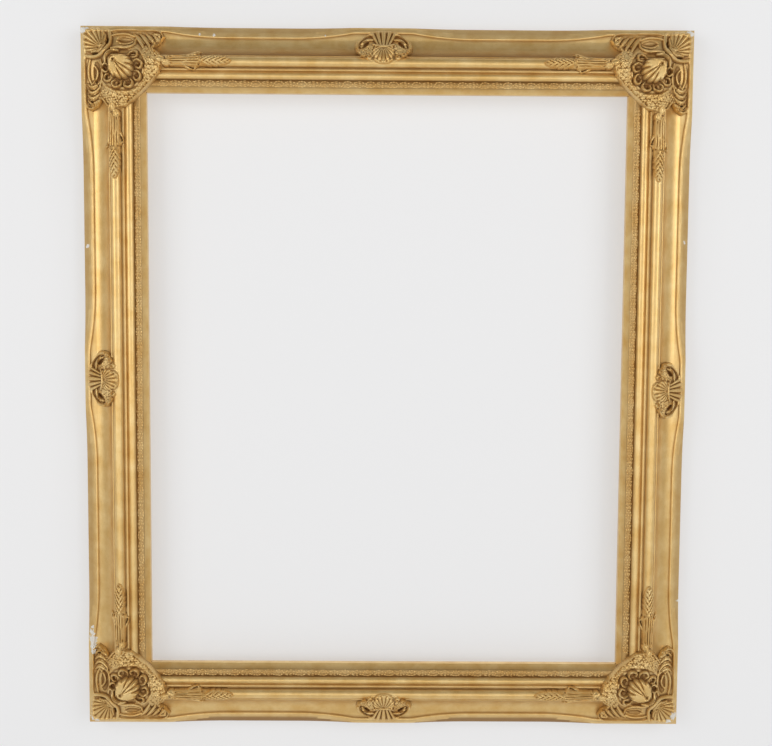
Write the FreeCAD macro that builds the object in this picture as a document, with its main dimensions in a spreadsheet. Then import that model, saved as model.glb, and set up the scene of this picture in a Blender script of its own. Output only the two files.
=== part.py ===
import FreeCAD, Part
import math
import os
import re
import Sketcher

# An ornate gilded picture frame: four mitred swept rails with cast ornaments,
# laid leaf strips, and the hanging and holding hardware on its back.
# Frame axes: +Z up, the front faces -Y, the origin is at the middle of the back plane.
# Lengths are in millimetres.

doc = FreeCAD.newDocument("gilded_frame")
sheet = doc.addObject("Spreadsheet::Sheet", "sizes")

driving_sizes = [
    # the picture that the frame holds, and the rebate for it
    ("picture_width", 508.0),
    ("picture_height", 610.0),
    ("rebate_lip", 6.0),
    ("rebate_depth", 12.0),
    # the rail's section, from the outer edge inwards; heights are above the back
    ("rail_width", 68.0),
    ("side_height", 8.0),
    ("rim_height", 15.6),
    ("rim_bead_radius", 1.7),
    ("rim_step", 0.4),
    ("rim_mid_inset", 9.3),
    ("rim_end_inset", 3.5),
    ("cove_height", 32.4),
    ("cove_hollow", 3.5),
    ("torus_lip", 1.4),
    ("torus_width", 10.4),
    ("torus_foot", 31.6),
    ("torus_rise", 4.7),
    ("groove_width", 1.0),
    ("groove_height", 29.2),
    ("fillet_width", 2.0),
    ("fillet_height", 30.2),
    ("quirk_width", 0.8),
    ("cushion_width", 8.2),
    ("cushion_foot", 28.4),
    ("cushion_rise", 3.0),
    ("channel_width", 7.4),
    ("channel_height", 24.4),
    ("bevel_width", 4.4),
    ("bevel_height", 25.6),
    ("sight_height", 20.0),
    ("sight_edge", 0.6),
    # the sweep of the rim in plan, between the ornaments
    ("sweep_length", 66.0),
    ("sweep_turn_radius", 50.0),
    ("rim_hidden", 4.0),
    ("centre_hidden", 26.0),
    # the leaf strip laid in its channel
    ("strip_clearance", 0.1),
    ("strip_side", 1.4),
    ("strip_rise", 1.3),
    # the cast corner ornament
    ("corner_past", 20.0),
    ("corner_plate_height", 20.5),
    ("corner_fan_rise", 3.6),
    ("corner_shoulder_height", 36.8),
    ("corner_mound_height", 37.8),
    ("corner_crescent_height", 40.5),
    ("corner_boss_height", 41.5),
    ("corner_top_height", 43.0),
    ("casting_overlap", 1.5),
    ("casting_trim_rise", 2.6),
    # the bud spray laid on the torus beside each corner ornament
    ("spray_reach", 70.0),
    ("spray_overlap", 8.8),
    ("spray_width", 10.5),
    ("spray_slab_rise", 1.6),
    ("spray_stem_rise", 3.5),
    ("bud_length", 25.0),
    ("bud_sink", 0.8),
    # the cast centre ornament
    ("centre_length", 60.0),
    ("centre_margin", 2.2),
    ("centre_plate_height", 20.5),
    ("centre_scroll_height", 29.0),
    ("centre_mound_rise", 0.9),
    ("centre_top_height", 41.0),
    # where each centre ornament was laid, off the middle of its rail
    ("top_centre_shift", -4.4),
    ("left_centre_shift", 4.0),
    ("right_centre_shift", -4.8),
    # the nails driven into the mitres from the back
    ("nail_leg", 7.0),
    ("nail_thickness", 0.8),
    ("nail_depth", 10.0),
    ("nail_outer_inset", 20.0),
    ("nail_inner_inset", 50.0),
    # the strap hangers and their rings
    ("hanger_height", 150.0),
    ("hanger_inset", 30.0),
    ("strap_width", 14.0),
    ("strap_length", 46.0),
    ("strap_thickness", 1.2),
    ("strap_first_hole", 27.0),
    ("strap_last_hole", 40.0),
    ("ring_wire", 3.0),
    ("ring_width", 25.0),
    ("ring_length", 20.0),
    ("ring_clearance", 0.1),
    # the turn buttons that hold the picture in
    ("button_length", 32.0),
    ("button_width", 10.0),
    ("button_thickness", 1.5),
    ("button_pivot_end", 7.0),
    ("button_gap", 0.3),
    ("button_row_inset", 51.5),
    ("side_button_place", 190.0),
    # the round-head screws of both
    ("screw_radius", 1.5),
    ("screw_head_radius", 3.2),
    ("screw_head_height", 2.0),
    ("screw_depth", 10.0),
    ("screw_clearance", 0.1),
    # the soft bumpers on the lower corners of the back
    ("bumper_radius", 6.0),
    ("bumper_top_radius", 4.8),
    ("bumper_height", 5.0),
    ("bumper_inset", 34.0),
    ("bumper_side_inset", 60.0),
    # how far every cutting solid runs past what it cuts
    ("cut_overrun", 5.0),
]

for row, (alias, value) in enumerate(driving_sizes, start=1):
    sheet.set(f"A{row}", alias.replace("_", " "))
    sheet.set(f"B{row}", str(value))
    sheet.setAlias(f"B{row}", alias)
doc.recompute()

# Lengths that follow from the driving sizes, as expressions of the sheet.
outer_width = "(picture_width - 2*rebate_lip + 2*rail_width)"
outer_height = "(picture_height - 2*rebate_lip + 2*rail_width)"
rebate_inset = "(rail_width - rebate_lip)"
bevel_inset = "(rail_width - bevel_width)"
channel_inset = f"({bevel_inset} - channel_width)"
cushion_inset = f"({channel_inset} - cushion_width)"
fillet_inset = f"({cushion_inset} - quirk_width - fillet_width)"
torus_end = f"({fillet_inset} - groove_width)"
torus_inset = f"({torus_end} - torus_width)"
torus_middle = f"({torus_inset} + torus_width/2)"
torus_top = "(torus_foot + torus_rise)"
cove_end = f"({torus_inset} - torus_lip)"
cove_inset = "(rim_mid_inset + 2*rim_bead_radius + 2*rim_step)"
corner_reach = "(rail_width + corner_past)"
corner_hidden = f"({corner_reach} - rim_hidden)"
centre_reach = f"({torus_end} - centre_margin)"
spray_start = f"({corner_reach} - spray_overlap)"
spray_tip = f"({corner_reach} + spray_reach)"


def in_sheet(text):
    """Point the names in an expression at the sheet."""
    return re.sub(r"\b[a-z]+(?:_[a-z]+)+\b", r"sizes.\g<0>", str(text))


def amount(text):
    """Work out an expression of the sheet's names as a plain number."""
    found = sheet.evalExpression(in_sheet(text))
    return float(getattr(found, "Value", found))


def bind(item, **lengths):
    """Tie an object's properties to expressions of the sheet."""
    for name, text in lengths.items():
        item.setExpression(name, in_sheet(text))
    return item


def put(item, across="0", depth="0", up="0", turn=None):
    """Place an object at a point given by expressions, turned if asked."""
    item.Placement = FreeCAD.Placement(FreeCAD.Vector(), turn or FreeCAD.Rotation())
    for axis, text in (("x", across), ("y", depth), ("z", up)):
        item.setExpression(f"Placement.Base.{axis}", in_sheet(text))
    return item


def arc_radius(chord, rise):
    """Radius of the arc that rises by rise over a chord."""
    return f"((({chord})^2/4 + ({rise})^2)/(2*({rise})))"


def pin_down(sketch, edge, end, across, up):
    """Fix one end of a sketch edge at a point given by expressions."""
    for kind, text in (("DistanceX", across), ("DistanceY", up)):
        value = amount(text)
        if value < 0:
            index = sketch.addConstraint(Sketcher.Constraint(kind, edge, end, -1, 1, -value))
            sketch.setExpression(f"Constraints[{index}]", in_sheet(f"-({text})"))
        else:
            index = sketch.addConstraint(Sketcher.Constraint(kind, -1, 1, edge, end, value))
            sketch.setExpression(f"Constraints[{index}]", in_sheet(text))


def open_sketch(body, name, role, offset="0"):
    """Start a sketch on one of the body's own planes, moved along its normal."""
    sketch = body.newObject("Sketcher::SketchObject", name)
    plane = next(item for item in body.Origin.OriginFeatures if item.Role == role)
    sketch.AttachmentSupport = [(plane, "")]
    sketch.MapMode = "FlatFace"
    sketch.setExpression("AttachmentOffset.Base.z", in_sheet(offset))
    return sketch


def sketch_circle(sketch, across, up, radius):
    """Add a circle whose centre and radius are given by expressions."""
    centre = FreeCAD.Vector(amount(across), amount(up), 0)
    circle = Part.Circle(centre, FreeCAD.Vector(0, 0, 1), amount(radius))
    edge = sketch.addGeometry(circle)
    index = sketch.addConstraint(Sketcher.Constraint("Radius", edge, amount(radius)))
    sketch.setExpression(f"Constraints[{index}]", in_sheet(radius))
    pin_down(sketch, edge, 3, across, up)
    return sketch


def sketch_path(sketch, corners, closed=True):
    """Sketch lines and arcs through corners: (x, y) or (x, y, radius, side) to the next."""
    places = [FreeCAD.Vector(amount(c[0]), amount(c[1]), 0) for c in corners]
    count = len(corners) if closed else len(corners) - 1
    ends = []
    for k in range(count):
        start, stop = places[k], places[(k + 1) % len(corners)]
        if len(corners[k]) == 2:
            edge = sketch.addGeometry(Part.LineSegment(start, stop))
            ends.append((edge, 1, 2))
            continue
        radius, side = amount(corners[k][2]), corners[k][3]
        chord = stop - start
        out = FreeCAD.Vector(-chord.y, chord.x, 0).normalize() * side
        reach = math.sqrt(radius**2 - chord.Length**2 / 4)
        centre = (start + stop) * 0.5 - out * reach
        first, last = (stop, start) if side > 0 else (start, stop)
        angles = [math.atan2(p.y - centre.y, p.x - centre.x) for p in (first, last)]
        if angles[1] < angles[0]:
            angles[1] += 2 * math.pi
        circle = Part.Circle(centre, FreeCAD.Vector(0, 0, 1), radius)
        edge = sketch.addGeometry(Part.ArcOfCircle(circle, *angles))
        ends.append((edge, 2, 1) if side > 0 else (edge, 1, 2))
        index = sketch.addConstraint(Sketcher.Constraint("Radius", edge, radius))
        sketch.setExpression(f"Constraints[{index}]", in_sheet(corners[k][2]))
    for k, (edge, begin, stop) in enumerate(ends):
        pin_down(sketch, edge, begin, corners[k][0], corners[k][1])
        if k + 1 < count or closed:
            after, after_begin = ends[(k + 1) % count][:2]
            sketch.addConstraint(Sketcher.Constraint("Coincident", edge, stop, after, after_begin))
        else:
            pin_down(sketch, edge, stop, corners[-1][0], corners[-1][1])
    return sketch


def around(centre, radii, sides, start=0, sweep=360):
    """Points on an ellipse round a centre, from one angle through a sweep."""
    points = []
    for k in range(sides if sweep == 360 else sides + 1):
        angle = math.radians(start + sweep * k / sides)
        points.append((f"{centre[0]} + ({radii[0]})*({round(math.cos(angle), 4)})",
                       f"{centre[1]} + ({radii[1]})*({round(math.sin(angle), 4)})"))
    return points


def faceted(name, levels):
    """A flat-sided solid through outlines of equal count, given as (height, outline)."""
    body = doc.addObject("PartDesign::Body", name)
    sketches = [sketch_path(open_sketch(body, f"{name}_level_{k}", "XY_Plane", height), outline)
                for k, (height, outline) in enumerate(levels)]
    loft = body.newObject("PartDesign::AdditiveLoft", f"{name}_loft")
    loft.Profile = sketches[0]
    loft.Sections = sketches[1:]
    loft.Ruled = True
    return body


def pad_along(body, sketch, length, both_ways=True, reverse=False):
    """Pad a sketch by a length given by an expression."""
    pad = body.newObject("PartDesign::Pad", sketch.Name + "_pad")
    pad.Profile = sketch
    pad.Midplane = both_ways
    pad.Reversed = reverse
    return bind(pad, Length=length)


def cut_mitres(body, length):
    """Cut both ends of a rail or a strip at 45 degrees."""
    half, past = f"({length}/2)", "cut_overrun"
    for side in (1, -1):
        sketch = open_sketch(body, f"{body.Name}_mitre_{side + 2}", "XZ_Plane")
        corners = [
            (f"{side}*({half} + {past})", f"-{past}"),
            (f"{side}*({half} + {past})", f"rail_width + {past}"),
            (f"{side}*({half} - rail_width - {past})", f"rail_width + {past}"),
        ]
        sketch_path(sketch, corners)
        pocket = body.newObject("PartDesign::Pocket", sketch.Name + "_pocket")
        pocket.Profile = sketch
        pocket.Midplane = True
        bind(pocket, Length=f"4*({torus_top})")


def turned(angle, tipped=0):
    """Rotation about the front-to-back axis, after tipping about the side-to-side axis."""
    tip = FreeCAD.Rotation(FreeCAD.Vector(1, 0, 0), tipped)
    return FreeCAD.Rotation(FreeCAD.Vector(0, 1, 0), angle).multiply(tip)


# Each rail: name, length, turn from the top rail, where its outer edge lies, and the
# shift of its centre ornament measured along the rail.
rail_table = [
    ("top", outer_width, 0, "0", f"{outer_height}/2", "top_centre_shift"),
    ("right", outer_height, 90, f"{outer_width}/2", "0", "-right_centre_shift"),
    ("bottom", outer_width, 180, "0", f"-{outer_height}/2", "0*rail_width"),
    ("left", outer_height, -90, f"-{outer_width}/2", "0", "left_centre_shift"),
]
corner_table = [
    ("top_left", -1, 1, 0),
    ("top_right", 1, 1, 90),
    ("bottom_right", 1, -1, 180),
    ("bottom_left", -1, -1, 270),
]

# The rim's line in plan: straight under the ornaments, and between them drawn in by
# two tangent arcs to a straight middle.
sweep_angle = "(2*atan((rim_mid_inset - rim_end_inset)/sweep_length))"
sweep_radius = f"(sweep_length/sin({sweep_angle}) - sweep_turn_radius)"
turn_reach = f"sweep_turn_radius*sin({sweep_angle})"
turn_inset = f"rim_end_inset + sweep_turn_radius*(1 - cos({sweep_angle}))"


def rim_line(length, shift):
    """Corners of the rim's line along a rail, from one end to the other."""
    half = f"({length}/2)"
    line = [(f"-{half} - cut_overrun", "rim_end_inset")]
    spans = [
        (f"(-{half} + {corner_hidden})", f"({shift} - centre_hidden)"),
        (f"({shift} + centre_hidden)", f"({half} - {corner_hidden})"),
    ]
    for start, stop in spans:
        line += [
            (start, "rim_end_inset", "sweep_turn_radius", -1),
            (f"{start} + {turn_reach}", turn_inset, sweep_radius, 1),
            (f"{start} + sweep_length", "rim_mid_inset"),
            (f"{stop} - sweep_length", "rim_mid_inset", sweep_radius, 1),
            (f"{stop} - {turn_reach}", turn_inset, "sweep_turn_radius", -1),
            (stop, "rim_end_inset"),
        ]
    return line + [(f"{half} + cut_overrun", "rim_end_inset")]


cove_chord = f"sqrt(({cove_end} - {cove_inset})^2 + (cove_height - rim_height)^2)"
rail_section = [
    ("0", "0"),
    ("rim_height", "0"),
    ("rim_height", cove_inset, arc_radius(cove_chord, "cove_hollow"), 1),
    ("cove_height", cove_end),
    ("cove_height", torus_inset),
    ("torus_foot", torus_inset, arc_radius("torus_width", "torus_rise"), -1),
    ("torus_foot", torus_end),
    ("groove_height", torus_end),
    ("groove_height", fillet_inset),
    ("fillet_height", fillet_inset),
    ("fillet_height", f"{fillet_inset} + fillet_width"),
    ("cushion_foot", cushion_inset, arc_radius("cushion_width", "cushion_rise"), -1),
    ("cushion_foot", channel_inset),
    ("channel_height", channel_inset),
    ("channel_height", bevel_inset),
    ("bevel_height", bevel_inset),
    ("sight_height", "rail_width - sight_edge"),
    ("sight_height - sight_edge", "rail_width"),
    ("rebate_depth", "rail_width"),
    ("rebate_depth", rebate_inset),
    ("0", rebate_inset),
]
flank_slope = "((rim_height - side_height)/rim_mid_inset)"
flank_section = [
    ("rim_height + cut_overrun", "rim_end_inset"),
    ("rim_height", "rim_end_inset"),
    (f"side_height - cut_overrun*{flank_slope}", "rim_end_inset - rim_mid_inset - cut_overrun"),
    ("rim_height + cut_overrun", "rim_end_inset - rim_mid_inset - cut_overrun"),
]


bead_sides = 6
bead_start = 30


def make_rail(side, length, shift, mitred=True):
    """One moulded length: section, swept outer flank, rim bead, and mitred ends."""
    body = doc.addObject("PartDesign::Body", f"{side}_moulding")
    section = sketch_path(open_sketch(body, f"{side}_section", "YZ_Plane"), rail_section)
    pad_along(body, section, length)
    line = open_sketch(body, f"{side}_rim_line", "XZ_Plane")
    sketch_path(line, rim_line(length, shift), closed=False)
    start = f"-{length}/2 - cut_overrun"
    flank = open_sketch(body, f"{side}_flank", "YZ_Plane", start)
    sketch_path(flank, flank_section)
    bead = open_sketch(body, f"{side}_bead", "YZ_Plane", start)
    sketch_path(bead, around(("rim_height", "rim_end_inset + rim_step + rim_bead_radius"),
                             ("rim_bead_radius", "rim_bead_radius"), bead_sides, bead_start))
    doc.recompute()
    spine = [f"Edge{k + 1}" for k in range(len(line.Shape.Edges))]
    for profile, kind in ((flank, "SubtractivePipe"), (bead, "AdditivePipe")):
        pipe = body.newObject(f"PartDesign::{kind}", f"{profile.Name}_pipe")
        pipe.Profile = profile
        pipe.Spine = (line, spine)
    if mitred:
        cut_mitres(body, length)
    return body


strip_section = [
    ("channel_height", f"{channel_inset} + strip_clearance"),
    ("channel_height + strip_side", f"{channel_inset} + strip_clearance",
     arc_radius("channel_width - 2*strip_clearance", "strip_rise"), -1),
    ("channel_height + strip_side", f"{bevel_inset} - strip_clearance"),
    ("channel_height", f"{bevel_inset} - strip_clearance"),
]


def make_strip(side, length, mitred=True):
    """One laid strip, domed, lying in the rail's channel and mitred with it."""
    body = doc.addObject("PartDesign::Body", f"{side}_strip")
    section = sketch_path(open_sketch(body, f"{side}_dome", "YZ_Plane"), strip_section)
    pad_along(body, section, length)
    cut_mitres(body, length)
    return body


def again(item, name, across="0", depth="0", up="0", turn=None):
    """Place one more copy of an object."""
    copy = doc.addObject("Part::Compound", name)
    copy.Links = [item]
    return put(copy, across, depth, up, turn)


def joined(name, items):
    """Fuse objects into one solid."""
    fuse = doc.addObject("Part::MultiFuse", name)
    fuse.Shapes = items
    fuse.Refine = False
    return fuse


def grouped(name, items):
    """Keep separate solids together in one node."""
    group = doc.addObject("Part::Compound", name)
    group.Links = items
    return group


def carved(name, base, tool):
    """Take one object away from another."""
    cut = doc.addObject("Part::Cut", name)
    cut.Base = base
    cut.Tool = tool
    return cut


# Turns of a solid whose own axis is +Z: to point at the front, and at the wall.
facing_front = FreeCAD.Rotation(FreeCAD.Vector(1, 0, 0), 90)
facing_wall = FreeCAD.Rotation(FreeCAD.Vector(1, 0, 0), -90)


def round_bar(name, radius, length, **place):
    """A cylinder along its own Z."""
    bar = bind(doc.addObject("Part::Cylinder", name), Radius=radius, Height=length)
    return put(bar, **place)


def taper(name, first, last, length, **place):
    """A cone or its frustum along its own Z."""
    cone = doc.addObject("Part::Cone", name)
    return put(bind(cone, Radius1=first, Radius2=last, Height=length), **place)


shank_sides = 8
head_sides = 12
point_share = 0.15
crown_share = 0.6


def make_screw():
    """A round-head wood screw, its head's underside at the origin, point to the front."""
    middle = ("0*screw_radius", "0*screw_radius")

    def ring(radius, sides):
        return around(middle, (radius, radius), sides)

    shank = faceted("screw_shank", [
        ("0", ring("screw_radius", shank_sides)),
        ("screw_depth - screw_radius", ring("screw_radius", shank_sides)),
        ("screw_depth", ring(f"{point_share}*screw_radius", shank_sides))])
    head = faceted("screw_head", [
        ("0", ring("screw_head_radius", head_sides)),
        ("screw_head_height", ring(f"{crown_share}*screw_head_radius", head_sides))])
    return joined("screw", [put(shank, turn=facing_front), put(head, turn=facing_wall)])


def make_nail():
    """An L-section nail that ties the two rails of a mitre, driven from the back."""
    body = doc.addObject("PartDesign::Body", "mitre_nail")
    sketch = open_sketch(body, "nail_section", "XZ_Plane")
    sketch_path(sketch, [
        ("0", "0"), ("nail_leg", "0"), ("nail_leg", "-nail_thickness"),
        ("nail_thickness", "-nail_thickness"), ("nail_thickness", "-nail_leg"),
        ("0", "-nail_leg"),
    ])
    pad_along(body, sketch, "nail_depth", both_ways=False)
    return body


# The screws: where each one sits, as across, up, and how far its head stands behind the back.
side_column = f"({outer_width}/2 - button_row_inset)"
level_row = f"({outer_height}/2 - button_row_inset)"
button_table = [
    ("top", "0*rail_width", level_row, 0),
    ("bottom", "0*rail_width", f"-{level_row}", 0),
    ("left_upper", f"-{side_column}", "side_button_place", 90),
    ("left_lower", f"-{side_column}", "-side_button_place", -90),
    ("right_upper", side_column, "side_button_place", 90),
    ("right_lower", side_column, "-side_button_place", -90),
]
hanger_column = f"({outer_width}/2 - hanger_inset)"
hanger_table = [("left", f"-{hanger_column}"), ("right", hanger_column)]
button_seat = "(2*button_gap + button_thickness)"

screw = make_screw()
drill = round_bar("drill", "screw_radius + screw_clearance", "screw_depth + cut_overrun",
                  depth="cut_overrun", turn=facing_front)
button_screws, hanger_screws, drillings = [], [], []
for name, across, up, angle in button_table:
    button_screws.append(again(screw, f"{name}_button_screw", across, button_seat, up))
    drillings.append(again(drill, f"{name}_button_drilling", across, "0", up))
for name, across in hanger_table:
    for hole in ("strap_first_hole", "strap_last_hole"):
        up = f"hanger_height - {hole}"
        label = f"{name}_{hole}"
        hanger_screws.append(again(screw, f"{label}_screw", across, "strap_thickness", up))
        drillings.append(again(drill, f"{label}_drilling", across, "0", up))

nail = make_nail()
nails = []
for corner, side_x, side_z, angle in corner_table:
    for inset in ("nail_outer_inset", "nail_inner_inset"):
        nails.append(again(nail, f"{corner}_{inset}", f"{side_x}*({outer_width}/2 - {inset})",
                           "0", f"{side_z}*({outer_height}/2 - {inset})", turned(angle)))
corner_nails = grouped("mitre_nails", nails)
back_cuts = grouped("back_cuts", nails + drillings)

mouldings, strips, rails = {}, {}, {}
for side, length, angle, across, up, shift in rail_table:
    mouldings[side] = make_rail(side, length, shift)
    strips[side] = make_strip(side, length)
    for item in (mouldings[side], strips[side]):
        put(item, across, "0", up, turned(angle, 180))
    rails[side] = carved(f"{side}_rail", mouldings[side], back_cuts)

# Ornaments are modelled lying face up: X and Y run inwards from the outer edge or corner,
# Z is the height above the back. This turn stands them up on the top rail.
stood_up = FreeCAD.Rotation(
    FreeCAD.Vector(0, 0, -1), FreeCAD.Vector(1, 0, 0), FreeCAD.Vector(0, -1, 0))


def raised(name, corners, low, high):
    """A flat-topped solid over an outline, between two heights."""
    body = doc.addObject("PartDesign::Body", name)
    sketch = sketch_path(open_sketch(body, f"{name}_outline", "XY_Plane", low), corners)
    pad_along(body, sketch, f"{high} - ({low})", both_ways=False)
    return body


def rib(name, across, inwards, low, high, length, width, angle, dip=0):
    """A ridged rib that starts at a point, runs out at an angle in plan, and may dip."""
    wedge = doc.addObject("Part::Wedge", name)
    bind(wedge, Xmin="0", Xmax=length, Ymin="0", Ymax=f"{high} - ({low})",
         Zmin=f"-({width})/2", Zmax=f"({width})/2",
         X2min=f"{length}*{rib_end_share}", X2max=f"{length}*{1 - rib_end_share}",
         Z2min=f"-({width})*{rib_top_share}", Z2max=f"({width})*{rib_top_share}")
    lay = FreeCAD.Rotation(FreeCAD.Vector(0, 0, 1), angle).multiply(
        FreeCAD.Rotation(FreeCAD.Vector(0, 1, 0), dip)).multiply(
        FreeCAD.Rotation(FreeCAD.Vector(1, 0, 0), 90))
    return put(wedge, across, inwards, low, lay)


rib_end_share = 0.12
rib_top_share = 0.14


def of(size, share):
    """A share of a size, as an expression."""
    return f"({size}*{share})"


def outline_of(shares, size, other=None):
    """Outline points from shares of one size, or of two."""
    return [(of(size, a), of(other or size, b)) for a, b in shares]


def drawn_in(shares, middle, share):
    """The same outline drawn in towards a middle point."""
    return [(round(middle[0] + (a - middle[0]) * share, 4),
             round(middle[1] + (b - middle[1]) * share, 4)) for a, b in shares]


def mirrored(points):
    """The same outline points across the diagonal, in turn back to the start."""
    return [(b, a) for a, b in reversed(points[1:-1])]


def band(name, centre, low, high, outer, inner, sides, start, sweep):
    """A flat-sided ridge bent round a centre; outer and inner are (foot, crest) radii."""
    levels = []
    for k, height in enumerate((low, high)):
        levels.append((height, around(centre, outer[k], sides, start, sweep)
                       + list(reversed(around(centre, inner[k], sides, start, sweep)))))
    return faceted(name, levels)


# Corner ornament, in shares of its reach along each rail. Half of its outline runs from
# the outer corner to the diagonal; the other half is the same across the diagonal.
corner_half_shares = [
    (0.0, 0.0), (0.33, 0.0), (0.37, 0.07), (0.46, 0.03), (0.62, 0.03), (0.7, 0.06),
    (0.84, 0.035), (0.96, 0.07), (1.0, 0.15), (0.95, 0.24), (0.88, 0.28), (0.96, 0.34),
    (1.0, 0.44), (0.97, 0.57), (0.9, 0.67), (0.77, 0.77),
]
corner_draw_share = 0.92
corner_middle_share = 0.52
corner_plate_half_shares = corner_half_shares[:10] + [(0.84, 0.3), (0.5, 0.5)]
shoulder_foot_shares = [
    (0.2, 0.2), (0.6, 0.2), (0.86, 0.22), (0.96, 0.34), (1.0, 0.44), (0.97, 0.57),
    (0.9, 0.67), (0.77, 0.77),
]
shoulder_top_shares = [
    (0.38, 0.38), (0.6, 0.385), (0.8, 0.39), (0.88, 0.41), (0.92, 0.46), (0.9, 0.55),
    (0.85, 0.63), (0.735, 0.735),
]
corner_mound_shares = (0.31, 0.27)
corner_mound_sides = 12
corner_crescent_shares = ((0.31, 0.285), (0.2, 0.225))
corner_crescent_angles = (-66, 252)
corner_crescent_sides = 9
corner_boss_shares = (0.155, 0.115)
corner_boss_sides = 10
boss_hinge_share = 0.46
boss_rib_shares = (0.21, 0.05)
boss_rib_angles = [-15, 5, 25, 45, 65, 85, 105]
fan_hinge_share = 0.27
fan_rib_shares = (0.25, 0.068)
fan_rib_angles = [186, 199, 212, 225, 238, 251, 264]
fan_dip = 9
field_shares = (0.53, 0.15)
field_radii_shares = ((0.13, 0.075), (0.1, 0.045))
field_sides = 8
field_angles = (30, 300)
feather_start_shares = [(0.7, 0.09), (0.78, 0.08), (0.86, 0.09)]
feather_shares = (0.15, 0.05)
feather_angle = 62


def make_corner_casting():
    """Fan on the outer corner, a ribbed boss in a crescent, fields and feathers beside."""
    size, plate = corner_reach, "corner_plate_height"
    trim_low, trim_high = f"({plate} - casting_overlap)", f"({plate} + casting_trim_rise)"
    outline = corner_plate_half_shares + mirrored(corner_plate_half_shares)
    centre = (corner_middle_share, corner_middle_share)
    parts = [faceted("corner_plate", [
        ("side_height", outline_of(outline, size)),
        (plate, outline_of(drawn_in(outline, centre, corner_draw_share), size))])]
    middle = (of(size, centre[0]), of(size, centre[1]))

    def level(share, sides, turn):
        return around(middle, (of(size, share), of(size, share)), sides, turn)

    parts.append(faceted("corner_shoulder", [
        (height, outline_of(shares + mirrored(shares), size))
        for height, shares in (("(sight_height - casting_overlap)", shoulder_foot_shares),
                               ("corner_shoulder_height", shoulder_top_shares))]))
    half_step = 180 / corner_mound_sides
    parts.append(faceted("corner_mound", [
        ("(corner_shoulder_height - casting_overlap)",
         level(corner_mound_shares[0], corner_mound_sides, half_step)),
        ("corner_mound_height", level(corner_mound_shares[1], corner_mound_sides, half_step))]))
    outer, inner = [[(of(size, share), of(size, share)) for share in pair]
                    for pair in corner_crescent_shares]
    parts.append(band("corner_crescent", middle, "(corner_mound_height - casting_overlap)",
                      "corner_crescent_height", outer, inner, corner_crescent_sides,
                      *corner_crescent_angles))
    parts.append(faceted("corner_boss", [
        ("(corner_mound_height - casting_overlap)",
         level(corner_boss_shares[0], corner_boss_sides, 0)),
        ("corner_boss_height", level(corner_boss_shares[1], corner_boss_sides, 0))]))
    hinge = of(size, boss_hinge_share)
    for k, angle in enumerate(boss_rib_angles):
        parts.append(rib(f"boss_rib_{k}", hinge, hinge, "corner_mound_height",
                         "corner_top_height", of(size, boss_rib_shares[0]),
                         of(size, boss_rib_shares[1]), angle))
    fan = of(size, fan_hinge_share)
    for k, angle in enumerate(fan_rib_angles):
        parts.append(rib(f"fan_rib_{k}", fan, fan, trim_low, f"({plate} + corner_fan_rise)",
                         of(size, fan_rib_shares[0]), of(size, fan_rib_shares[1]), angle,
                         fan_dip))
    for tag, turn in (("x", 1), ("y", -1)):
        place = [of(size, share) for share in field_shares[::turn]]
        radii = [[of(size, share) for share in pair[::turn]] for pair in field_radii_shares]
        start = field_angles[0] if turn == 1 else 90 - field_angles[0] - field_angles[1]
        parts.append(band(f"corner_field_{tag}", place, trim_low, trim_high,
                          (radii[0], radii[0]), (radii[1], radii[1]), field_sides, start,
                          field_angles[1]))
        for k, shares in enumerate(feather_start_shares):
            across, inwards = [of(size, share) for share in shares[::turn]]
            parts.append(rib(f"feather_{tag}_{k}", across, inwards, trim_low, trim_high,
                             of(size, feather_shares[0]), of(size, feather_shares[1]),
                             feather_angle if turn == 1 else 90 - feather_angle))
    return joined("corner_blank", parts)


# Bud spray, in shares of its length and width: a stem bundle with a twig and a leaf,
# opening to the calyx that holds the bud.
spray_half_shares = [
    (0.0, 0.42), (0.12, 0.5), (0.3, 0.36), (0.42, 0.34), (0.55, 0.62), (0.6, 0.95),
    (0.66, 0.6), (0.7, 0.4), (0.76, 0.44),
]
spray_other_shares = [
    (0.76, -0.44), (0.68, -0.42), (0.6, -0.75), (0.52, -0.5), (0.4, -0.34), (0.26, -0.4),
    (0.12, -0.52), (0.0, -0.42),
]
stem_shares = [-0.26, 0.0, 0.26]
stem_width_share = 0.3
stem_length_share = 0.76
bud_shares = [(0.0, 0.36), (0.35, 0.52), (0.75, 0.42), (1.0, 0.12)]
bud_sides = 8


def make_spray():
    """Stem bundle, leaves and bud, running along Y from the corner ornament's edge."""
    length, width = f"({spray_tip} - {spray_start})", "spray_width"
    points = [(f"{torus_middle} - {of(width, b)}", f"{spray_start} + {of(length, a)}")
              for a, b in spray_half_shares + spray_other_shares]
    parts = [raised("spray_slab", points, "groove_height", f"({torus_top} + spray_slab_rise)")]
    for k, offset in enumerate(stem_shares):
        parts.append(rib(f"spray_stem_{k}", f"{torus_middle} + {of(width, offset)}",
                         spray_start, torus_top, f"({torus_top} + spray_stem_rise)",
                         of(length, stem_length_share), of(width, stem_width_share), 90))
    middle = ("0*bud_length", "0*bud_length")
    bud = faceted("spray_bud", [
        (of("bud_length", along),
         around(middle, (of(width, share), of(width, share)), bud_sides, 180 / bud_sides))
        for along, share in bud_shares])
    parts.append(put(bud, torus_middle, f"{spray_tip} - bud_length", f"({torus_top} - bud_sink)",
                     FreeCAD.Rotation(FreeCAD.Vector(1, 0, 0), -90)))
    return joined("spray_blank", parts)


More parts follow.
